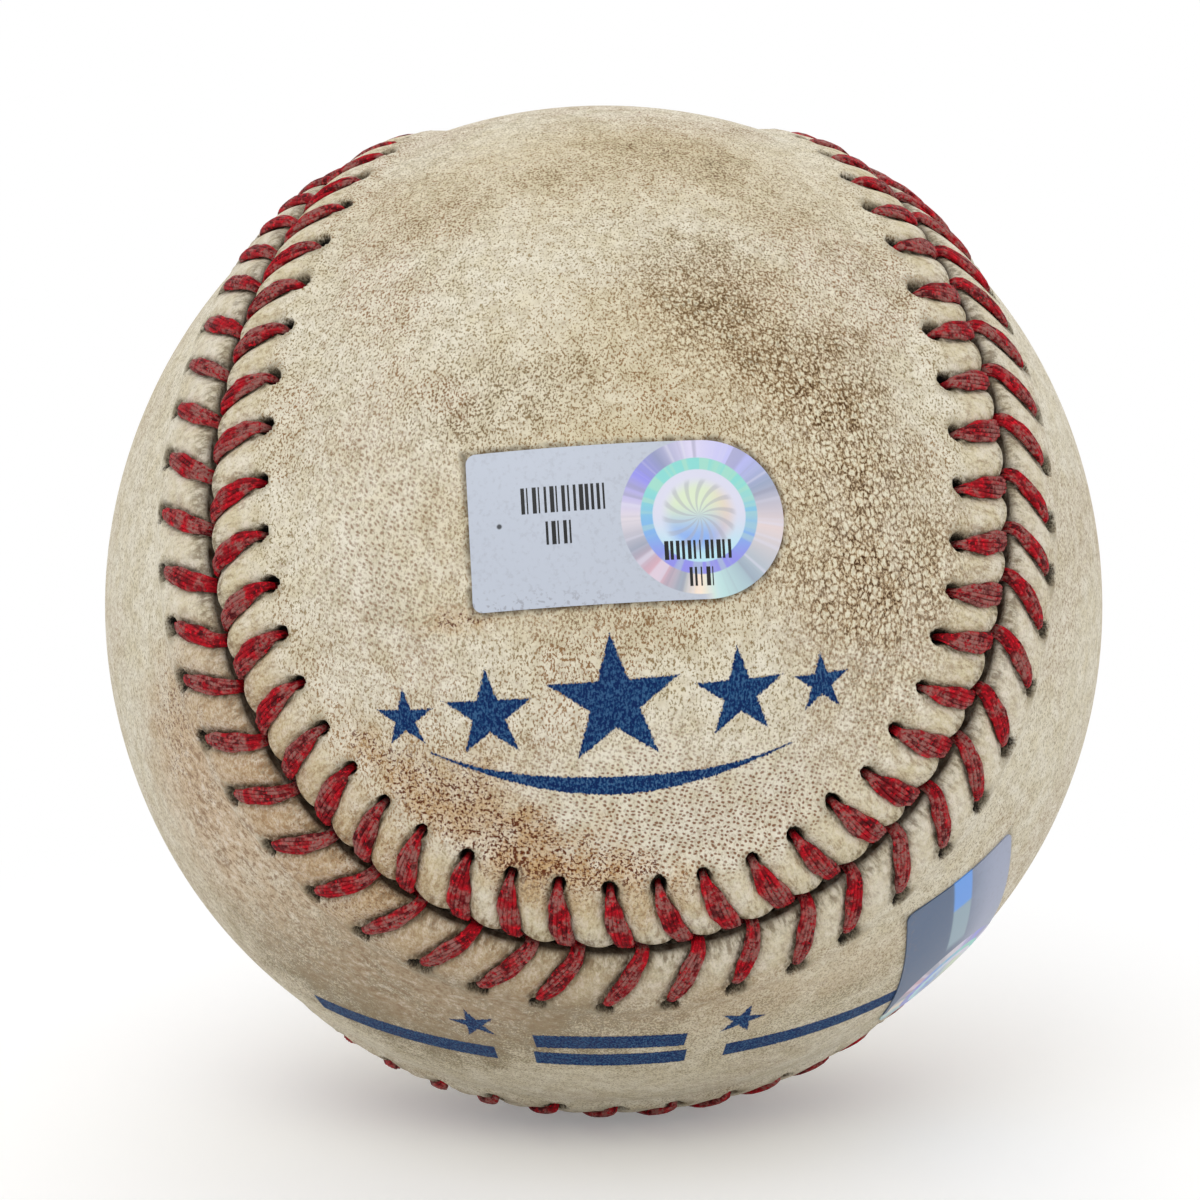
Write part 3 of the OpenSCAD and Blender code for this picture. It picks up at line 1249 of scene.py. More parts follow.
STAINS = {
    mood: tuple(Stain(*row) for row in rows) for mood, rows in {
        Mood.CLOUD: (
            (14.5, 41.0, 5.5, 3.6, 0.48, -30.0), (19.0, 35.5, 5.0, 3.0, 0.42, -40.0),
            (26.0, 29.0, 7.5, 4.6, 0.58, -30.0), (29.5, 21.0, 5.5, 4.5, 0.35, -10.0),
            (31.0, 9.0, 6.0, 5.5, 0.40, -20.0), (9.0, 60.0, 15.0, 4.5, 0.22), (-21.0, 8.0, 3.0, 4.5, 0.30, 20.0),
            (-12.0, 27.0, 9.0, 3.5, 0.25, 20.0), (-40.0, -20.0, 9.0, 10.0, 0.28), (-22.0, -40.0, 21.0, 10.0, 1.55),
            (12.0, -47.0, 22.0, 6.0, 0.38), (-63.0, 12.0, 5.0, 8.0, 0.15, 15.0), (160.0, 20.0, 18.0, 12.0, 0.50),
            (-130.0, -10.0, 14.0, 18.0, 0.50), (110.0, -35.0, 16.0, 12.0, 0.40), (175.0, -40.0, 14.0, 16.0, 0.55),
        ),
        Mood.HALO: (
            (2.0, 16.0, 15.0, 10.5, 0.85), (8.0, 33.0, 13.0, 9.0, 0.60), (4.0, 62.0, 22.0, 9.0, 0.80),
            (-6.0, -46.0, 34.0, 11.0, 0.45), (-100.0, 25.0, 16.0, 14.0, 0.60),
        ),
        Mood.PORE: (
            (11.0, -19.0, 22.0, 9.5, 1.25), (-23.0, 12.0, 8.0, 13.0, 0.75, 15.0), (-8.0, 8.0, 12.0, 4.0, 0.45),
            (30.0, 0.0, 9.0, 14.0, 0.85), (140.0, -25.0, 18.0, 14.0, 0.60),
        ),
        Mood.PEBBLE: (
            (29.0, 9.0, 8.0, 7.0, 1.0, -15.0), (28.0, 19.0, 7.5, 7.5, 0.90, -10.0),
            (25.0, 28.0, 8.5, 6.0, 0.95, -30.0), (16.0, 37.0, 9.0, 6.0, 0.65, -35.0), (29.0, 0.0, 7.0, 6.0, 0.45),
            (150.0, -5.0, 12.0, 10.0, 0.80),
        ),
        Mood.SPECK: (
            (-7.0, -18.5, 7.5, 3.4, 1.0, -25.0), (-16.5, -12.5, 7.0, 3.8, 0.75, -40.0),
            (-24.0, -7.0, 3.6, 2.2, 0.55, -50.0), (1.0, -21.5, 6.5, 2.2, 0.70, -5.0),
            (-30.0, -21.0, 9.0, 6.0, 0.65, -35.0), (-50.0, -10.0, 6.0, 9.0, 0.60), (-14.0, 6.5, 4.0, 1.2, 0.45, 5.0),
            (-150.0, 30.0, 12.0, 8.0, 0.60),
        ),
        Mood.SCUFF: (
            (-44.0, -18.0, 12.0, 14.0, 0.90, -20.0), (-26.0, -36.0, 16.0, 9.0, 0.60, -12.0),
            (15.0, -40.0, 14.0, 4.0, 0.40, 5.0), (95.0, 10.0, 10.0, 14.0, 0.60), (-170.0, 45.0, 14.0, 10.0, 0.60),
        ),
        Mood.INK: (
            (41.6, 6.6, 2.6, 4.0, 0.9),
        ),
    }.items()
}


@dataclass(frozen=True)
class InkStar:
    """A plain five-point star printed on the leather."""

    turn: float
    tilt: float
    radius: float
    roll: float = 0.0
    waist_share: float = 0.382


@dataclass(frozen=True)
class InkBar:
    """A plain printed bar that follows an arc round a pole over the front of the ball.

    The pole's tilt, the arc's angle from the pole and the bar's way round it are in degrees, the
    bar's half length and half height in millimetres. Its taper is the share of its height that is
    gone at its ends.
    """

    pole_tilt: float
    reach: float
    around: float
    half_l: float
    half_h: float
    taper: float = 0.0


STARS = (
    InkStar(0.9, -2.6, 4.4, 3.5),
    InkStar(-11.6, -3.9, 3.0, 3.5), InkStar(13.4, -2.2, 3.0, 3.5),
    InkStar(-20.3, -4.6, 2.0, 3.5), InkStar(22.0, -1.6, 2.0, 3.5),
    InkStar(-20.2, -43.6, 1.75, 8.0), InkStar(19.5, -43.4, 1.75, -8.0),
)
BARS = (
    InkBar(34.0, 45.2, 0.9, 12.0, 0.62, 0.9),
    InkBar(90.0, 136.4, 0.0, 5.2, 0.85),
    InkBar(69.5, 120.0, -27.0, 7.2, 0.95), InkBar(69.5, 120.0, 0.0, 5.2, 0.95), InkBar(69.5, 120.0, 27.0, 7.2, 0.95),
)


@dataclass(frozen=True)
class LeatherFinish:
    """Alum-tanned cowhide, rubbed with mud, printed in blue and worn by play."""

    name: str
    leather_r: float
    crisp: float = 1.0
    pale: tuple = srgb(241, 234, 216)
    buff: tuple = srgb(230, 219, 189)
    tan: tuple = srgb(216, 202, 162)
    dust: tuple = srgb(164, 147, 106)
    rust: tuple = srgb(174, 128, 78)
    amber: tuple = srgb(194, 148, 86)
    mud: tuple = srgb(82, 62, 38)
    pore: tuple = srgb(118, 62, 12)
    crease: tuple = srgb(64, 34, 12)
    speck: tuple = srgb(90, 32, 2)
    blush: tuple = srgb(216, 192, 162)
    fibre: tuple = srgb(136, 100, 70)
    # Pale for scuffed fibres, and for highlights painted on the puffs by the seam.
    glint: tuple = srgb(243, 232, 217)
    hollow: tuple = srgb(190, 156, 108)
    bead_highlight: tuple = srgb(236, 229, 202)
    # Dark brown: grime along the label edges, and painted shade beside the stitches and round the needle holes.
    grime_and_shade: tuple = srgb(66, 54, 38)
    gap_shade: tuple = srgb(56, 41, 27)
    torn: tuple = srgb(150, 138, 114)
    # Near black painted in the needle holes as their shade.
    hole: tuple = srgb(12, 10, 8)
    ink: tuple = srgb(0, 34, 86)
    ink_fleck: tuple = srgb(38, 104, 154)
    stray: tuple = srgb(70, 98, 116)
    pores_per_mm: float = 2.5
    pebbles_per_mm: float = 2.2
    dashes_per_mm: float = 6.2
    specks_per_mm: float = 5.0
    gloss: float = 0.14
    grain_depth: float = 0.08

    def stains(self, tree: Tree, place: Socket, mood: Mood) -> Socket:
        """Adds up the stains of one mood.

        Args:
            tree: The material's nodes.
            place: The surface's place, moved about by noise.
            mood: The mood to add up.

        Returns:
            The share of the mood at each point.
        """
        total: object = 0.0
        for stain in STAINS[mood]:
            axes = facing(stain.turn, stain.tilt, stain.roll)
            deep = max(stain.width, stain.height)
            spot = tree.local(place, axes, (stain.width, stain.height, deep), tuple(axes.col[2] * self.leather_r))
            far = tree.vectors("LENGTH", spot, output="Value")
            total = tree.most(total, tree.rise(far, 0.2, 1.25, stain.strength, 0.0))
        return total

    def label_rim(self, tree: Tree, place: Socket, label: LabelPlace) -> Socket:
        """Draws the line of dirt that gathers along a label's edge.

        Args:
            tree: The material's nodes.
            place: The surface's place, in millimetres.
            label: The label.

        Returns:
            The share of dirt at each point.
        """
        x, y, z = tree.parts(tree.local(place, label.axes))
        half_l, half_h = label.length / 2, label.height / 2
        far = tree.length(tree.most(tree.minus(x, half_l - half_h), 0.0), y)
        out = tree.most(tree.minus(far, half_h), tree.minus(tree.times(x, -1.0), half_l))
        return tree.times(tree.fall(out, 0.05, 0.55), tree.own_side(z))

    def star(self, tree: Tree, place: Socket, star: InkStar, rough: Socket) -> Socket:
        """Cuts out one printed star.

        Args:
            tree: The material's nodes.
            place: The surface's place, in millimetres.
            star: The star.
            rough: How far the grain breaks its edge.

        Returns:
            The share of ink at each point.
        """
        x, y, z = tree.parts(tree.local(place, facing(star.turn, star.tilt, star.roll)))
        tenth = math.tau / 5 / 2
        folded = tree.math("PINGPONG", tree.math("ARCTAN2", x, y), tenth)
        far = tree.length(x, y)
        waist = star.radius * star.waist_share
        slope = math.atan2(waist * math.sin(tenth), star.radius - waist * math.cos(tenth))
        along = tree.times(far, tree.math("COSINE", folded), math.sin(slope))
        across = tree.times(far, tree.math("SINE", folded), math.cos(slope))
        over = tree.minus(tree.plus(along, across), star.radius * math.sin(slope))
        return tree.times(tree.cut(tree.plus(over, rough), 0.0), tree.own_side(z))

    def bar(self, tree: Tree, place: Socket, bar: InkBar, rough: Socket) -> Socket:
        """Cuts out one printed bar.

        Args:
            tree: The material's nodes.
            place: The surface's place, in millimetres.
            bar: The bar.
            rough: How far the grain breaks its edge.

        Returns:
            The share of ink at each point.
        """
        x, y, z = tree.parts(tree.local(place, facing(0.0, bar.pole_tilt)))
        far = tree.length(x, y)
        down = tree.minus(tree.math("ARCTAN2", far, z), math.radians(bar.reach))
        high = tree.plus(tree.math("ABSOLUTE", tree.times(down, self.leather_r)), rough)
        way = tree.minus(tree.math("ARCTAN2", x, tree.times(y, -1.0)), math.radians(bar.around))
        out = tree.math("ABSOLUTE", tree.times(way, self.leather_r * math.sin(math.radians(bar.reach))))
        limit = tree.rise(out, 0.0, bar.half_l, bar.half_h, bar.half_h * (1.0 - bar.taper))
        return tree.times(tree.cut(tree.minus(high, limit), 0.0), tree.cut(out, bar.half_l))

    def print_marks(self, tree: Tree, place: Socket, grain: Socket) -> Socket:
        """Puts all the printed stars and bars together, their edges broken by the grain.

        Args:
            tree: The material's nodes.
            place: The surface's place, in millimetres.
            grain: Noise of the grain.

        Returns:
            The share of ink at each point.
        """
        rough = tree.times(tree.minus(grain, 0.5), 0.5)
        marks = [self.star(tree, place, star, rough) for star in STARS]
        return tree.most(*marks, *(self.bar(tree, place, bar, rough) for bar in BARS))

    def make(self) -> Material:
        """Builds the leather's material.

        Returns:
            The material.
        """
        tree = Tree(self.name)
        place = tree.coords()
        warped_little = tree.shifted(place, 0.9, 0.5)
        warped = tree.shifted(tree.shifted(place, 0.16, 7.0), 0.7, 2.6)
        grain_place = tree.shifted(tree.stretch(place, (1.0, 1.0, 0.8)), 1.4, 0.3)
        slow, mottle = tree.noise(place, 0.09, 3.0, 0.6), tree.noise(place, 0.5, 4.0, 0.65)
        patch = tree.noise(place, 1.3, 2.0)
        dashes = tree.noise(tree.stretch(place, (1.15, 1.15, 0.7)), self.dashes_per_mm, 2.0, 0.65)
        cloud, halo, pored, pebbled, speckled, scuffed, inky = (self.stains(tree, warped, mood) for mood in Mood)
        gap, hole, wear, stitch_grime_and_shade, torn = (tree.kept(name) for name in ("gap", "hole", "wear", "stitch_grime_and_shade", "torn"))
        seam = tree.kept("seam", "Vector")

        dirt = tree.plus(tree.rise(slow, 0.3, 0.75, 0.1, 0.5), cloud)
        dirt = tree.times(dirt, tree.rise(mottle, 0.3, 0.7, 0.55, 1.25))
        tree.colour = tree.mix(tree.rise(mottle, 0.35, 0.75, 0.0, 0.7), self.pale, self.buff)
        tree.coat(self.tan, halo, tree.rise(slow, 0.25, 0.6, 0.4, 0.9))
        tree.coat(self.dust, tree.held(dirt, 0.32))
        tree.coat(self.dust, tree.rise(patch, 0.35, 0.7, 0.0, 0.25))
        dashed = tree.rise(tree.minus(dashes, tree.minus(0.59, tree.times(dirt, 0.13))), -0.05, 0.05)
        stroke = tree.mix(tree.most(tree.rise(slow, 0.45, 0.6), halo, speckled), self.dust, self.rust)
        stroke = tree.mix(tree.held(dirt, 1.1), stroke, self.mud)
        calm = tree.times(tree.rise(wear, 0.3, 1.0, 1.0, 0.35), tree.rise(pored, 0.0, 1.0, 1.0, 0.3))
        tree.coat(stroke, dashed, calm, 0.95 * self.crisp)

        rows = tree.local(warped_little, facing(10.0, -18.0, -18.0), (1.0, 0.78, 1.0))
        rows = tree.fall(tree.cells(rows, self.pores_per_mm, 0.6, voronoi_dimensions="2D"), 0.12, 0.38)
        lone = tree.fall(tree.cells(grain_place, self.pores_per_mm), 0.14, 0.40)
        lone = tree.times(lone, tree.rise(patch, 0.4, 0.65, 0.05, 0.35))
        rows = tree.held(pored, tree.times(rows, tree.rise(patch, 0.3, 0.6, 0.7, 1.0)))
        tree.coat(self.pore, tree.most(lone, rows), tree.rise(wear, 0.2, 1.0, 1.0, 0.3), 0.85 * self.crisp)

        edges = tree.cells(tree.shifted(grain_place, 3.2, 0.16), self.pebbles_per_mm, feature="DISTANCE_TO_EDGE")
        edges = tree.minus(edges, tree.times(tree.minus(dashes, 0.5), 0.7))
        pebble = tree.times(pebbled, tree.rise(mottle, 0.3, 0.55, 0.7, 1.0))
        # Grain beads painted pale in their middles as highlights and browner towards their edges as shade.
        tree.coat(tree.mix(tree.rise(edges, 0.06, 0.3), self.hollow, self.bead_highlight), pebble, 0.65)
        crease = tree.fall(edges, -0.03, 0.15)
        tree.coat(self.crease, pebble, tree.rise(patch, 0.35, 0.6, 0.65, 1.0), crease)

        tree.coat(self.amber, speckled, tree.rise(mottle, 0.3, 0.6, 0.2, 0.7))
        blots = tree.plus(tree.noise(place, self.specks_per_mm, 2.0, 0.6), tree.times(speckled, 0.11))
        tree.coat(self.speck, tree.rise(blots, 0.59, 0.67), tree.rise(speckled, 0.02, 0.5), 0.95)
        strokes = tree.local(place, facing(-40.0, -25.0, -30.0), (1.2, 0.9, 1.1))
        streaks = tree.noise(strokes, 1.7, 4.0, 0.75)
        tree.coat(self.blush, scuffed, tree.rise(mottle, 0.35, 0.6, 0.35, 0.85))
        tree.coat(self.fibre, scuffed, tree.rise(streaks, 0.50, 0.62), 0.8)
        tree.coat(self.glint, scuffed, tree.rise(streaks, 0.47, 0.36), 0.7)
        tree.coat(self.stray, inky, tree.rise(mottle, 0.52, 0.6), dashed)

        rays = tree.noise(tree.stretch(seam, (1.0, 1.0, 0.45)), 2.6, 3.0, 0.7)
        brink = tree.rise(tree.parts(seam)[2], 0.6, 2.0, 0.6, 0.0)
        tree.coat(self.tan, wear, tree.rise(mottle, 0.35, 0.6, 0.2, 0.65), self.crisp ** 2)
        # Pale streaks painted on the puffs beside the seam as highlights.
        tree.coat(self.glint, wear, tree.rise(rays, 0.5, 0.36), 0.4)
        tree.coat(self.fibre, wear, tree.rise(rays, 0.5, 0.66), 0.5 * self.crisp)
        tree.coat(self.mud, wear, brink, tree.rise(rays, 0.42, 0.6, 0.25, 1.0))
        tree.coat(self.rust, wear, tree.most(speckled, scuffed), tree.rise(dashes, 0.4, 0.6, 0.15, 0.7))
        # The groove beside each stitch darkened as painted shade of the thread, with some grime.
        tree.coat(self.grime_and_shade, stitch_grime_and_shade, tree.rise(rays, 0.35, 0.6, 0.3, 0.85))

        for label in LABELS:
            rim = self.label_rim(tree, warped_little, label)
            tree.coat(self.grime_and_shade, rim, tree.rise(patch, 0.3, 0.6, 0.25, 0.7), self.crisp ** 2)
        ink = tree.mix(tree.rise(dashes, 0.42, 0.66, 0.0, 0.8), self.ink, self.ink_fleck)
        tree.coat(ink, self.print_marks(tree, place, dashes), tree.rise(dashed, 0.0, 1.0, 1.0, 0.94))
        tree.coat(self.gap_shade, gap, tree.rise(patch, 0.3, 0.7, 1.0, 0.8))
        # Needle holes painted brown round their rims and near black in their depth: painted shade in the pits, the
        # rims with some grime.
        ragged = tree.plus(hole, tree.times(tree.minus(dashes, 0.5), 0.7))
        tree.coat(self.grime_and_shade, tree.rise(ragged, 0.0, 0.5, 0.0, 0.8))
        tree.coat(self.hole, tree.rise(ragged, 0.32, 0.68))
        tree.coat(self.torn, torn, tree.rise(dashes, 0.36, 0.56, 1.0, 0.3), tree.rise(hole, 0.5, 1.0, 0.85, 0.35))

        rough = tree.rise(patch, 0.2, 0.8, 0.55, 0.75)
        tree.set(Base_Color=tree.colour, Roughness=rough, Specular_IOR_Level=self.gloss)
        grain = tree.minus(tree.times(tree.rise(edges, -0.05, 0.25), 0.45), tree.times(dashes, 1.6))
        grain = tree.plus(grain, tree.plus(tree.times(rays, wear, 1.6), tree.times(streaks, 0.5)))
        tree.bump(grain, 0.6, self.grain_depth)
        return tree.material


@dataclass(frozen=True)
class ThreadFinish:
    """Waxed red cotton, rubbed grey on its high strands."""

    name: str = "waxed_red_thread"
    deep: tuple = srgb(74, 6, 12)
    red: tuple = srgb(170, 10, 28)
    highlight_red: tuple = srgb(236, 20, 42)
    rubbed: tuple = srgb(146, 110, 102)

    def make(self) -> Material:
        """Builds the thread's material.

        Returns:
            The material.
        """
        tree = Tree(self.name)
        place = tree.coords()
        strand, along = tree.kept("strand"), tree.kept("along")
        streak = tree.noise(tree.point(tree.times(strand, 3.7), tree.times(along, 0.9)), 1.0, 3.0, 0.6)
        fuzz, worn = tree.noise(place, 4.0, 2.0, 0.7), tree.noise(place, 0.55, 3.0, 0.6)
        dark = tree.minus(streak, tree.times(tree.random(strand), 0.12))
        tree.colour = tree.mix(tree.rise(dark, 0.28, 0.56), self.deep, self.red)
        # Bright red flecks painted on the strands as highlights.
        tree.coat(self.highlight_red, tree.rise(fuzz, 0.5, 0.7, 0.0, 0.8))
        shares = tree.rise(worn, 0.42, 0.55), tree.rise(streak, 0.36, 0.52), tree.rise(fuzz, 0.36, 0.56)
        tree.coat(self.rubbed, *shares, 0.85)
        tree.set(Base_Color=tree.colour, Roughness=0.65, Specular_IOR_Level=0.15)
        tree.bump(tree.plus(fuzz, streak), 0.5, 0.06)
        return tree.material


@dataclass(frozen=True)
class LabelFinish:
    """Silver film with a round rainbow seal and rows of plain upright ticks.

    The film's two tints and the strength of its flash depend on what that side of the ball mirrors.
    """

    place: LabelPlace
    film: tuple
    far_film: tuple
    mirrored_flash: float = 0.0
    smudge: tuple = srgb(120, 116, 124)
    tick: tuple = srgb(8, 8, 9)
    seal_x: float = 4.58
    seal_y: float = 0.22
    seal_r: float = 5.0
    teal_r: float = 3.75
    core_r: float = 2.98
    tick_boxes: tuple[tuple[float, float, float, float], ...] = (
        (-3.9, 1.75, 2.75, 0.85), (-4.35, -0.4, 1.0, 0.75), (4.3, -1.96, 2.2, 0.6), (4.5, -3.66, 0.76, 0.6),
    )

    def ticks(self, tree: Tree, x: Socket, y: Socket, box: tuple[float, float, float, float]) -> Socket:
        """Cuts out a row of plain upright ticks within a box of middle and half sizes.

        Args:
            tree: The material's nodes.
            x: Place along the label.
            y: Place across the label.
            box: Middle, half width and half height of the row.

        Returns:
            The share of ink at each point.
        """
        along = tree.times(x, 2.7)
        width = tree.rise(tree.random(tree.math("FLOOR", along)), 0.0, 1.0, 0.25, 0.75)
        drawn = tree.math("LESS_THAN", tree.math("FRACT", along), width)
        middle_x, middle_y, half_w, half_h = box
        wide = tree.math("ABSOLUTE", tree.minus(x, middle_x))
        high = tree.math("ABSOLUTE", tree.minus(y, middle_y))
        return tree.times(tree.math("LESS_THAN", wide, half_w), tree.cut(high, half_h, 0.03), drawn)

    def seal(self, tree: Tree, across: Socket, y: Socket, far: Socket) -> Socket:
        """Colours the round seal: a ring of tinted sectors, a teal ring and a pale rosette.

        Args:
            tree: The material's nodes.
            across: Place to the right of the seal's middle.
            y: Place above its middle.
            far: Distance from its middle.

        Returns:
            The seal's colour.
        """
        angle = tree.math("ARCTAN2", y, across)
        around = tree.plus(tree.times(angle, 0.5 / math.pi), 0.5)
        sector = tree.point(*(tree.times(tree.math(part, angle), 2.2) for part in ("COSINE", "SINE")))
        glint = tree.noise(sector, 1.9, 2.0, 0.7)
        tint = tree.ramp(
            around, (0.0, srgb(226, 218, 226)), (0.07, srgb(162, 168, 186)), (0.14, srgb(224, 176, 190)),
            (0.20, srgb(164, 178, 192)), (0.24, srgb(255, 232, 208)), (0.28, srgb(196, 230, 228)),
            (0.36, srgb(166, 186, 200)), (0.47, srgb(228, 212, 212)), (0.57, srgb(156, 168, 196)),
            (0.64, srgb(188, 190, 244)), (0.76, srgb(222, 216, 242)), (0.84, srgb(150, 156, 192)),
            (0.90, srgb(152, 150, 236)), (1.0, srgb(226, 218, 226)),
        )
        ring = tree.mix(tree.rise(glint, 0.52, 0.66, 0.0, 0.6), tint, srgb(224, 222, 238))
        ring = tree.mix(tree.rise(glint, 0.46, 0.34, 0.0, 0.5), ring, srgb(150, 150, 172))
        teal = tree.mix(tree.rise(y, -3.2, -0.4), srgb(148, 146, 234), srgb(132, 184, 234))
        teal = tree.mix(tree.rise(y, -0.8, 2.0), teal, srgb(142, 218, 212))
        teal = tree.mix(tree.rise(tree.noise(sector, 2.6, 1.0), 0.45, 0.6, 0.0, 0.35), teal, srgb(196, 226, 190))
        core = tree.mix(tree.rise(y, -1.6, 1.0), srgb(142, 178, 240), srgb(220, 234, 204))
        core = tree.mix(tree.rise(across, 0.2, 2.2, 0.0, 0.75), core, srgb(234, 204, 188))
        border = tree.mix(tree.rise(y, -2.6, 0.4), srgb(188, 228, 242), srgb(220, 220, 238))
        core = tree.mix(tree.rise(far, 1.6, 2.6), core, border)
        petals = tree.math("SINE", tree.plus(tree.times(angle, 14.0), tree.times(far, 3.0)))
        petals = tree.times(tree.rise(petals, 0.0, 0.9), tree.rise(far, 2.5, 2.1, 0.0, 0.5))
        core = tree.mix(petals, core, srgb(170, 172, 184))
        seal = tree.mix(tree.cut(far, self.core_r, 0.05, below=0.0), core, teal)
        return tree.mix(tree.cut(far, self.teal_r, 0.05, below=0.0), seal, ring)

    def make(self) -> Material:
        """Builds the label's material.

        Returns:
            The material.
        """
        tree = Tree(f"{self.place.node}_film")
        place = tree.coords()
        x, y, _ = tree.parts(tree.local(place, self.place.axes))
        patch, fine = tree.noise(place, 0.5, 3.0), tree.noise(place, 3.0, 3.0, 0.6)
        # The film's tint changes up the label: on the side label a painted reflection of what that side mirrors.
        tree.colour = tree.mix(tree.rise(tree.plus(y, patch), -1.0, 4.0), self.film, self.far_film)
        tree.coat(self.smudge, tree.rise(fine, 0.5, 0.7, 0.0, 0.15))
        low = tree.times(tree.fall(y, -4.8, -3.6), tree.rise(fine, 0.54, 0.62), tree.rise(x, 2.0, -6.0))
        tree.coat(self.smudge, low, 0.35)
        dot = tree.length(tree.plus(x, 8.1), tree.minus(y, 0.25))
        tree.coat(self.tick, tree.rise(dot, 0.10, 0.22, 0.9, 0.0))
        # A band across the label's middle painted bluish as a reflection; on the side label it also hides the ticks.
        flash = tree.times(tree.rise(tree.math("ABSOLUTE", y), 0.75, 1.0, self.mirrored_flash, 0.0), tree.rise(x, -1.0, -2.2))
        flash_tint = tree.mix(tree.rise(x, -7.0, -6.6), srgb(106, 162, 240), srgb(150, 174, 188))
        across = tree.minus(x, self.seal_x)
        above = tree.minus(y, self.seal_y)
        far = tree.length(across, above)
        marks = tree.most(*(self.ticks(tree, x, y, box) for box in self.tick_boxes))
        seal = self.seal(tree, across, above, far)
        outside = tree.times(tree.cut(far, self.seal_r, below=0.0), tree.rise(across, 0.8, 0.0))
        tree.colour = tree.mix(outside, seal, tree.colour)
        tree.coat(self.tick, marks, 1.0 - self.mirrored_flash)
        tree.coat(flash_tint, flash)
        tree.set(Base_Color=tree.colour, Roughness=0.4, Specular_IOR_Level=0.4)
        tree.bump(tree.plus(patch, tree.times(fine, 0.3)), 0.2, 0.05)
        return tree.material


@dataclass(frozen=True)
class RubberFinish:
    """Moulded rubber with a dusting of chalk."""

    name: str
    colour: tuple
    dust: tuple

    def make(self) -> Material:
        """Builds the rubber's material.

        Returns:
            The material.
        """
        tree = Tree(self.name)
        place = tree.coords()
        dusty = tree.rise(tree.noise(place, 0.5, 5.0, 0.65), 0.45, 0.75, 0.0, 0.6)
        tree.set(Base_Color=tree.mix(dusty, self.colour, self.dust), Roughness=tree.rise(dusty, 0.0, 0.6, 0.5, 0.8))
        tree.bump(tree.noise(place, 2.5, 4.0), 0.3, 0.1)
        return tree.material


@dataclass(frozen=True)
class CorkFinish:
    """Ground cork bound in rubber."""

    name: str = "cork_and_rubber"

    def make(self) -> Material:
        """Builds the cork's material.

        Returns:
            The material.
        """
        tree = Tree(self.name)
        place = tree.coords()
        crumbs = tree.add("ShaderNodeTexVoronoi", {"Vector": place, "Scale": 0.9})
        shade = tree.noise(crumbs.outputs["Position"], 3.0, 1.0)
        colour = tree.mix(tree.rise(shade, 0.3, 0.7), srgb(112, 78, 48), srgb(176, 134, 90))
        colour = tree.mix(tree.rise(crumbs.outputs["Distance"], 0.45, 0.75), colour, srgb(58, 40, 30))
        tree.set(Base_Color=colour, Roughness=0.85)
        tree.bump(crumbs.outputs["Distance"], 0.5, 0.2)
        return tree.material


@dataclass(frozen=True)
class YarnFinish:
    """Yarn wound over the ball in bands that cross each other."""

    name: str
    light: tuple
    dark: tuple
    yarn_w: float

    def make(self) -> Material:
        """Builds the winding's material.

        Returns:
            The material.
        """
        tree = Tree(self.name)
        place = tree.coords()
        colour: object = self.dark
        height: object = 0.0
        ways = ((1.0, 0.2, 0.1), (-0.3, 1.0, 0.3), (0.2, -0.5, 1.0), (0.8, 0.7, -0.6))
        for number, way in enumerate(ways):
            level = tree.vectors("DOT_PRODUCT", place, tuple(Vector(way).normalized()), output="Value")
            body = tree.rise(tree.math("PINGPONG", level, self.yarn_w / 2), 0.0, self.yarn_w / 2)
            fibre = tree.noise(place, 4.0, 2.0, 0.7)
            # Each yarn band painted lighter along its middle and darker at its edges: painted light and shade across
            # the round yarn.
            shade = tree.mix(tree.times(body, tree.rise(fibre, 0.3, 0.7, 0.6, 1.0)), self.dark, self.light)
            apart = tree.vectors("ADD", place, (17.0 * number,) * 3)
            over = tree.rise(tree.noise(apart, 0.06, 1.0), 0.49, 0.51) if number else 1.0
            colour = tree.mix(over, colour, shade)
            height = tree.plus(tree.times(height, 0.4), tree.times(body, over))
        tree.set(Base_Color=colour, Roughness=0.9, Sheen_Weight=0.2)
        tree.bump(height, 0.6, 0.3)
        return tree.material


@dataclass
class Covering:
    """The ball's outer pieces: two panels, two arms of thread and two labels."""

    sizes: BallSizes
    seam: SeamLine
    stitches: StitchTable
    lumps: Lumps

    def finish(self, piece: Piece, material: Material, node: str, slot: str) -> None:
        """Gives a piece its material and its body, and hides the frame node that it stands for.

        Args:
            piece: The piece.
            material: Its material.
            node: The node that it stands for.
            slot: Not used.
        """
        clothe(piece.data, material)
        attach(piece, BODY)
        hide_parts(node)
        triangles = sum(len(face.vertices) - 2 for face in piece.data.polygons)
        LOG.info("%s: %d triangles", piece.name, triangles)

    def panels(self) -> None:
        """Builds and dresses both leather panels."""
        for side, letter, crisp in ((Side.A, "a", 1.0), (Side.B, "b", 0.6)):
            panel = LeatherPanel(side, self.seam, self.stitches, self.sizes, self.lumps)
            piece = panel.build(f"leather_panel_{letter}")
            material = LeatherFinish(f"leather_{letter}", self.sizes.leather, crisp).make()
            self.finish(piece, material, f"cover_panel_{letter}", "leather")

    def threads(self) -> None:
        """Builds and dresses both arms of the thread."""
        material = ThreadFinish().make()
        for side, letter in ((Side.A, "a"), (Side.B, "b")):
            thread = SeamThread(side, self.seam, self.stitches, self.sizes, self.lumps)
            piece = thread.build(f"stitch_thread_{letter}")
            self.finish(piece, material, f"seam_thread_{letter}", "red_thread")

    def labels(self) -> None:
        """Builds and dresses both labels."""
        silver, slate, lilac = srgb(192, 199, 212), srgb(86, 106, 136), srgb(158, 166, 190)
        # The side label's slate and lilac tints and its full flash are painted reflections; the front label stays
        # silver.
        for finish in (LabelFinish(FRONT_LABEL, silver, silver), LabelFinish(SIDE_LABEL, slate, lilac, 1.0)):
            sheet = LabelSheet(finish.place, self.sizes, self.lumps)
            piece = sheet.build(f"film_{finish.place.node}")
            self.finish(piece, finish.make(), finish.place.node, "label_film")


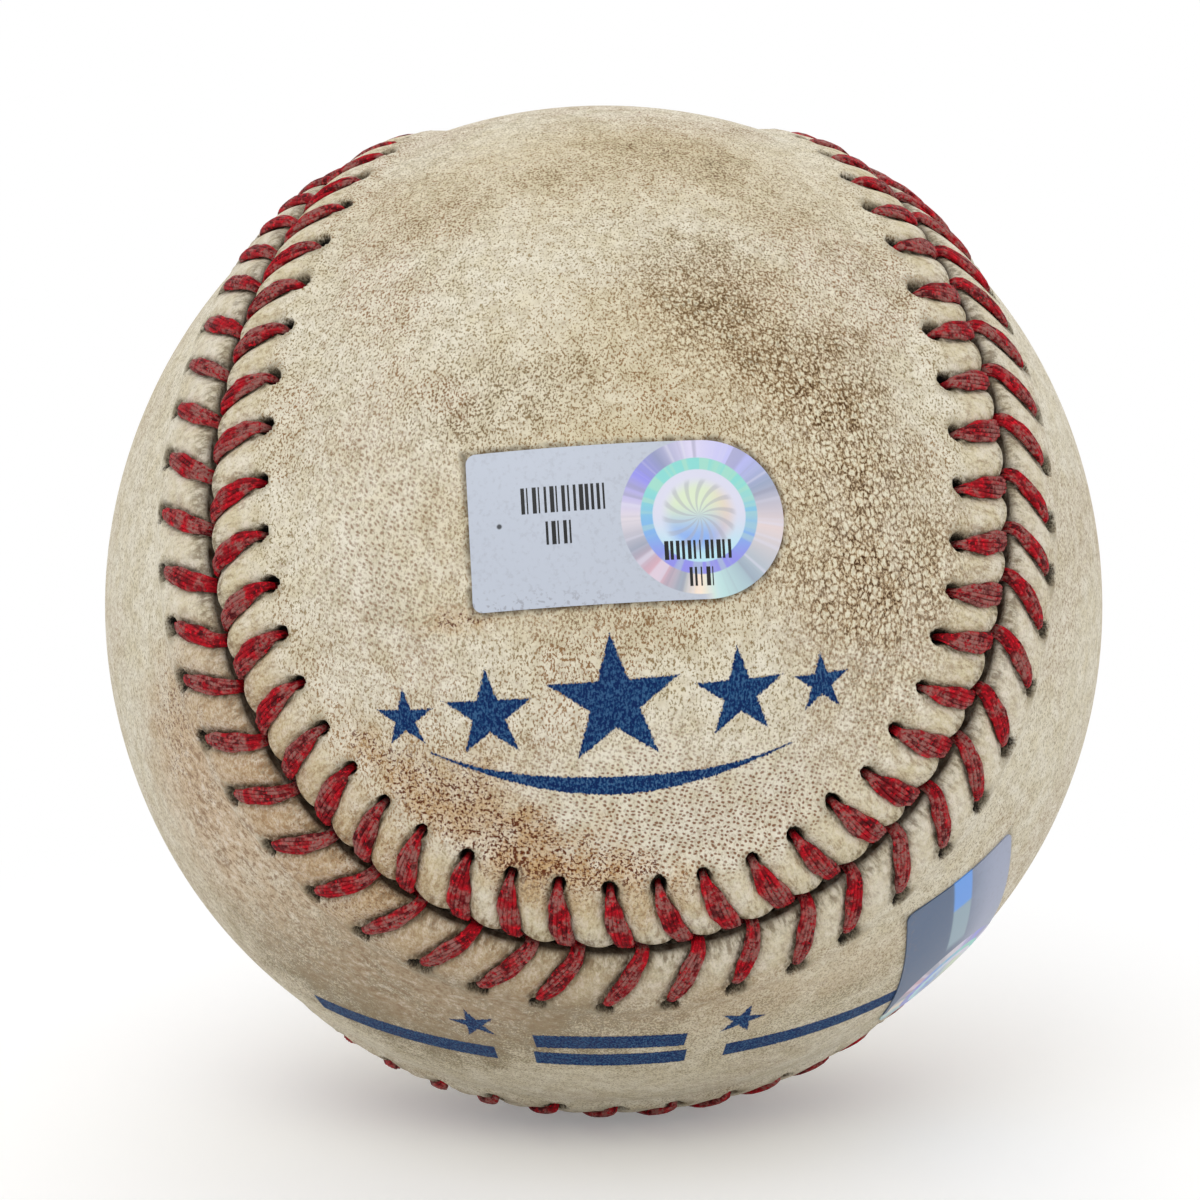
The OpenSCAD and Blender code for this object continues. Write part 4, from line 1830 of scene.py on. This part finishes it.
@dataclass
class Inside:
    """The core and windings, whose frame shapes stay and get their finishes."""

    def dress(self) -> None:
        """Gives every inner node its material."""
        black = RubberFinish("black_rubber", srgb(38, 38, 42), srgb(96, 94, 92)).make()
        red = RubberFinish("red_rubber", srgb(168, 58, 48), srgb(196, 128, 112)).make()
        grey = YarnFinish("grey_wool_yarn", srgb(160, 158, 152), srgb(92, 92, 92), 1.1).make()
        white = YarnFinish("white_wool_yarn", srgb(236, 230, 216), srgb(188, 180, 162), 0.9).make()
        cotton = YarnFinish("cotton_yarn", srgb(240, 236, 226), srgb(198, 192, 178), 0.45).make()
        finishes = {
            "cork_core": CorkFinish().make(),
            "black_rubber_cup_a": black, "black_rubber_cup_b": black,
            "cushion_washer": red, "red_rubber_layer": red,
            "grey_wool_inner": grey, "white_wool_middle": white, "grey_wool_outer": grey,
            "cotton_winding": cotton,
        }
        for node, material in finishes.items():
            clothe(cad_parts[node].data, material)
            LOG.info("%s: %s", node, material.name)


@dataclass
class Studio:
    """White floor and backdrop, soft lamps and the camera of the photograph."""

    sizes: BallSizes
    image_w: float = 1200.0
    ball_x: float = 604.0
    ball_y: float = 604.0
    ball_r: float = 499.0
    distance_share: float = 6.136
    elevation: float = 7.0
    roll: float = -0.8
    sensor: float = 36.0
    floor_half: float = 3.0
    shadow_reach: Pair = (0.03, 0.11)
    ambient: float = 0.80
    floor_glow: float = 0.22
    floor_tint: tuple = (0.86, 0.86, 0.86, 1.0)
    clip_start: float = 0.01

    def camera(self) -> None:
        """Sets the camera at the photograph's place, seen from the ball's centre."""
        focal = self.ball_r * math.sqrt(self.distance_share ** 2 - 1.0)
        data = bpy.data.cameras.new("camera")
        data.sensor_width = self.sensor
        data.lens = self.sensor * focal / self.image_w
        data.shift_x = -(self.ball_x - self.image_w / 2) / self.image_w
        data.shift_y = (self.ball_y - self.image_w / 2) / self.image_w
        data.clip_start = self.clip_start
        camera = add_object("camera", data)
        back = facing(0.0, self.elevation, self.roll).to_4x4()
        place = back.col[2].to_3d() * self.distance_share * self.sizes.leather * MM
        camera.matrix_world = Matrix.Translation(place) @ back
        bpy.context.scene.camera = camera

    def background_rays(self, tree: Tree) -> Socket:
        """Whether a ray comes straight, mirrored or through glass from the camera."""
        path = tree.add("ShaderNodeLightPath")
        return tree.most(*(path.outputs[f"Is {kind} Ray"] for kind in ("Camera", "Glossy", "Transmission")))

    def world(self) -> None:
        """Lights the ball softly from all round and shows white behind it."""
        world = bpy.data.worlds.new("studio")
        bpy.context.scene.world = world
        tree = Tree("studio", world)
        tree.set(Color=WHITE, Strength=tree.rise(self.background_rays(tree), 0.0, 1.0, self.ambient, 1.0))

    def floor(self) -> None:
        """Lays a pale floor under the ball that fades to white away from its shadow."""
        deselect_all()
        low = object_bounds()[0].z
        bpy.ops.mesh.primitive_plane_add(size=2.0 * self.floor_half, location=(0.0, 0.0, low))
        floor = bpy.context.active_object
        floor.name = "studio_floor"
        tree = Tree("studio_floor")
        tree.set(Base_Color=self.floor_tint, Roughness=0.9, Specular_IOR_Level=0.0)
        seen = self.background_rays(tree)
        far = tree.vectors("LENGTH", tree.add("ShaderNodeTexCoord").outputs["Object"], output="Value")
        fade = tree.times(tree.rise(far, *self.shadow_reach), seen)
        tree.set(Emission_Color=WHITE, Emission_Strength=tree.times(seen, self.floor_glow))
        white = tree.add("ShaderNodeEmission", {"Color": WHITE, "Strength": 1.0})
        mixed = tree.add("ShaderNodeMixShader", {0: fade, 1: tree.shader.outputs[0], 2: white.outputs[0]})
        tree.links.new(mixed.outputs[0], tree.nodes["Material Output"].inputs["Surface"])
        clothe(floor.data, tree.material)
        floor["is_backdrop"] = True

    def lamp(self, name: str, turn: float, tilt: float, far: float, size: float, watts: float) -> None:
        """Adds a square soft lamp that faces the ball.

        Args:
            name: Name of the lamp.
            turn: Its turn about the upright axis, in degrees.
            tilt: Its height above the ball's middle, in degrees.
            far: Its distance from the ball's centre, in metres.
            size: Its width, in metres.
            watts: Its power.
        """
        data = bpy.data.lights.new(name, "AREA")
        data.size = size
        data.energy = watts
        axes = facing(turn, tilt).to_4x4()
        add_object(name, data).matrix_world = Matrix.Translation(axes.col[2].to_3d() * far) @ axes

    def build(self) -> None:
        """Builds the whole studio."""
        self.camera()
        self.world()
        self.floor()
        self.lamp("key_lamp", turn=-22.0, tilt=46.0, far=0.6, size=0.35, watts=0.72)
        self.lamp("fill_lamp", turn=50.0, tilt=5.0, far=0.7, size=0.5, watts=0.45)
        self.lamp("back_lamp", turn=170.0, tilt=40.0, far=0.7, size=0.5, watts=0.75)
        bpy.context.scene.view_settings.view_transform = "Standard"
        LOG.info("studio: camera, world, floor and lamps")


def main() -> None:
    """Builds the ball from the inside out, then the studio round it."""
    logging.basicConfig(level=logging.INFO, format="%(message)s")
    sizes = BallSizes.from_frame()
    LOG.info("%s", sizes)
    seam = SeamLine(sizes.leather)
    stitches = StitchTable(seam.stitches)
    Inside().dress()
    covering = Covering(sizes, seam, stitches, Lumps())
    covering.panels()
    covering.threads()
    covering.labels()
    Studio(sizes).build()


if __name__ == "__main__":
    main()
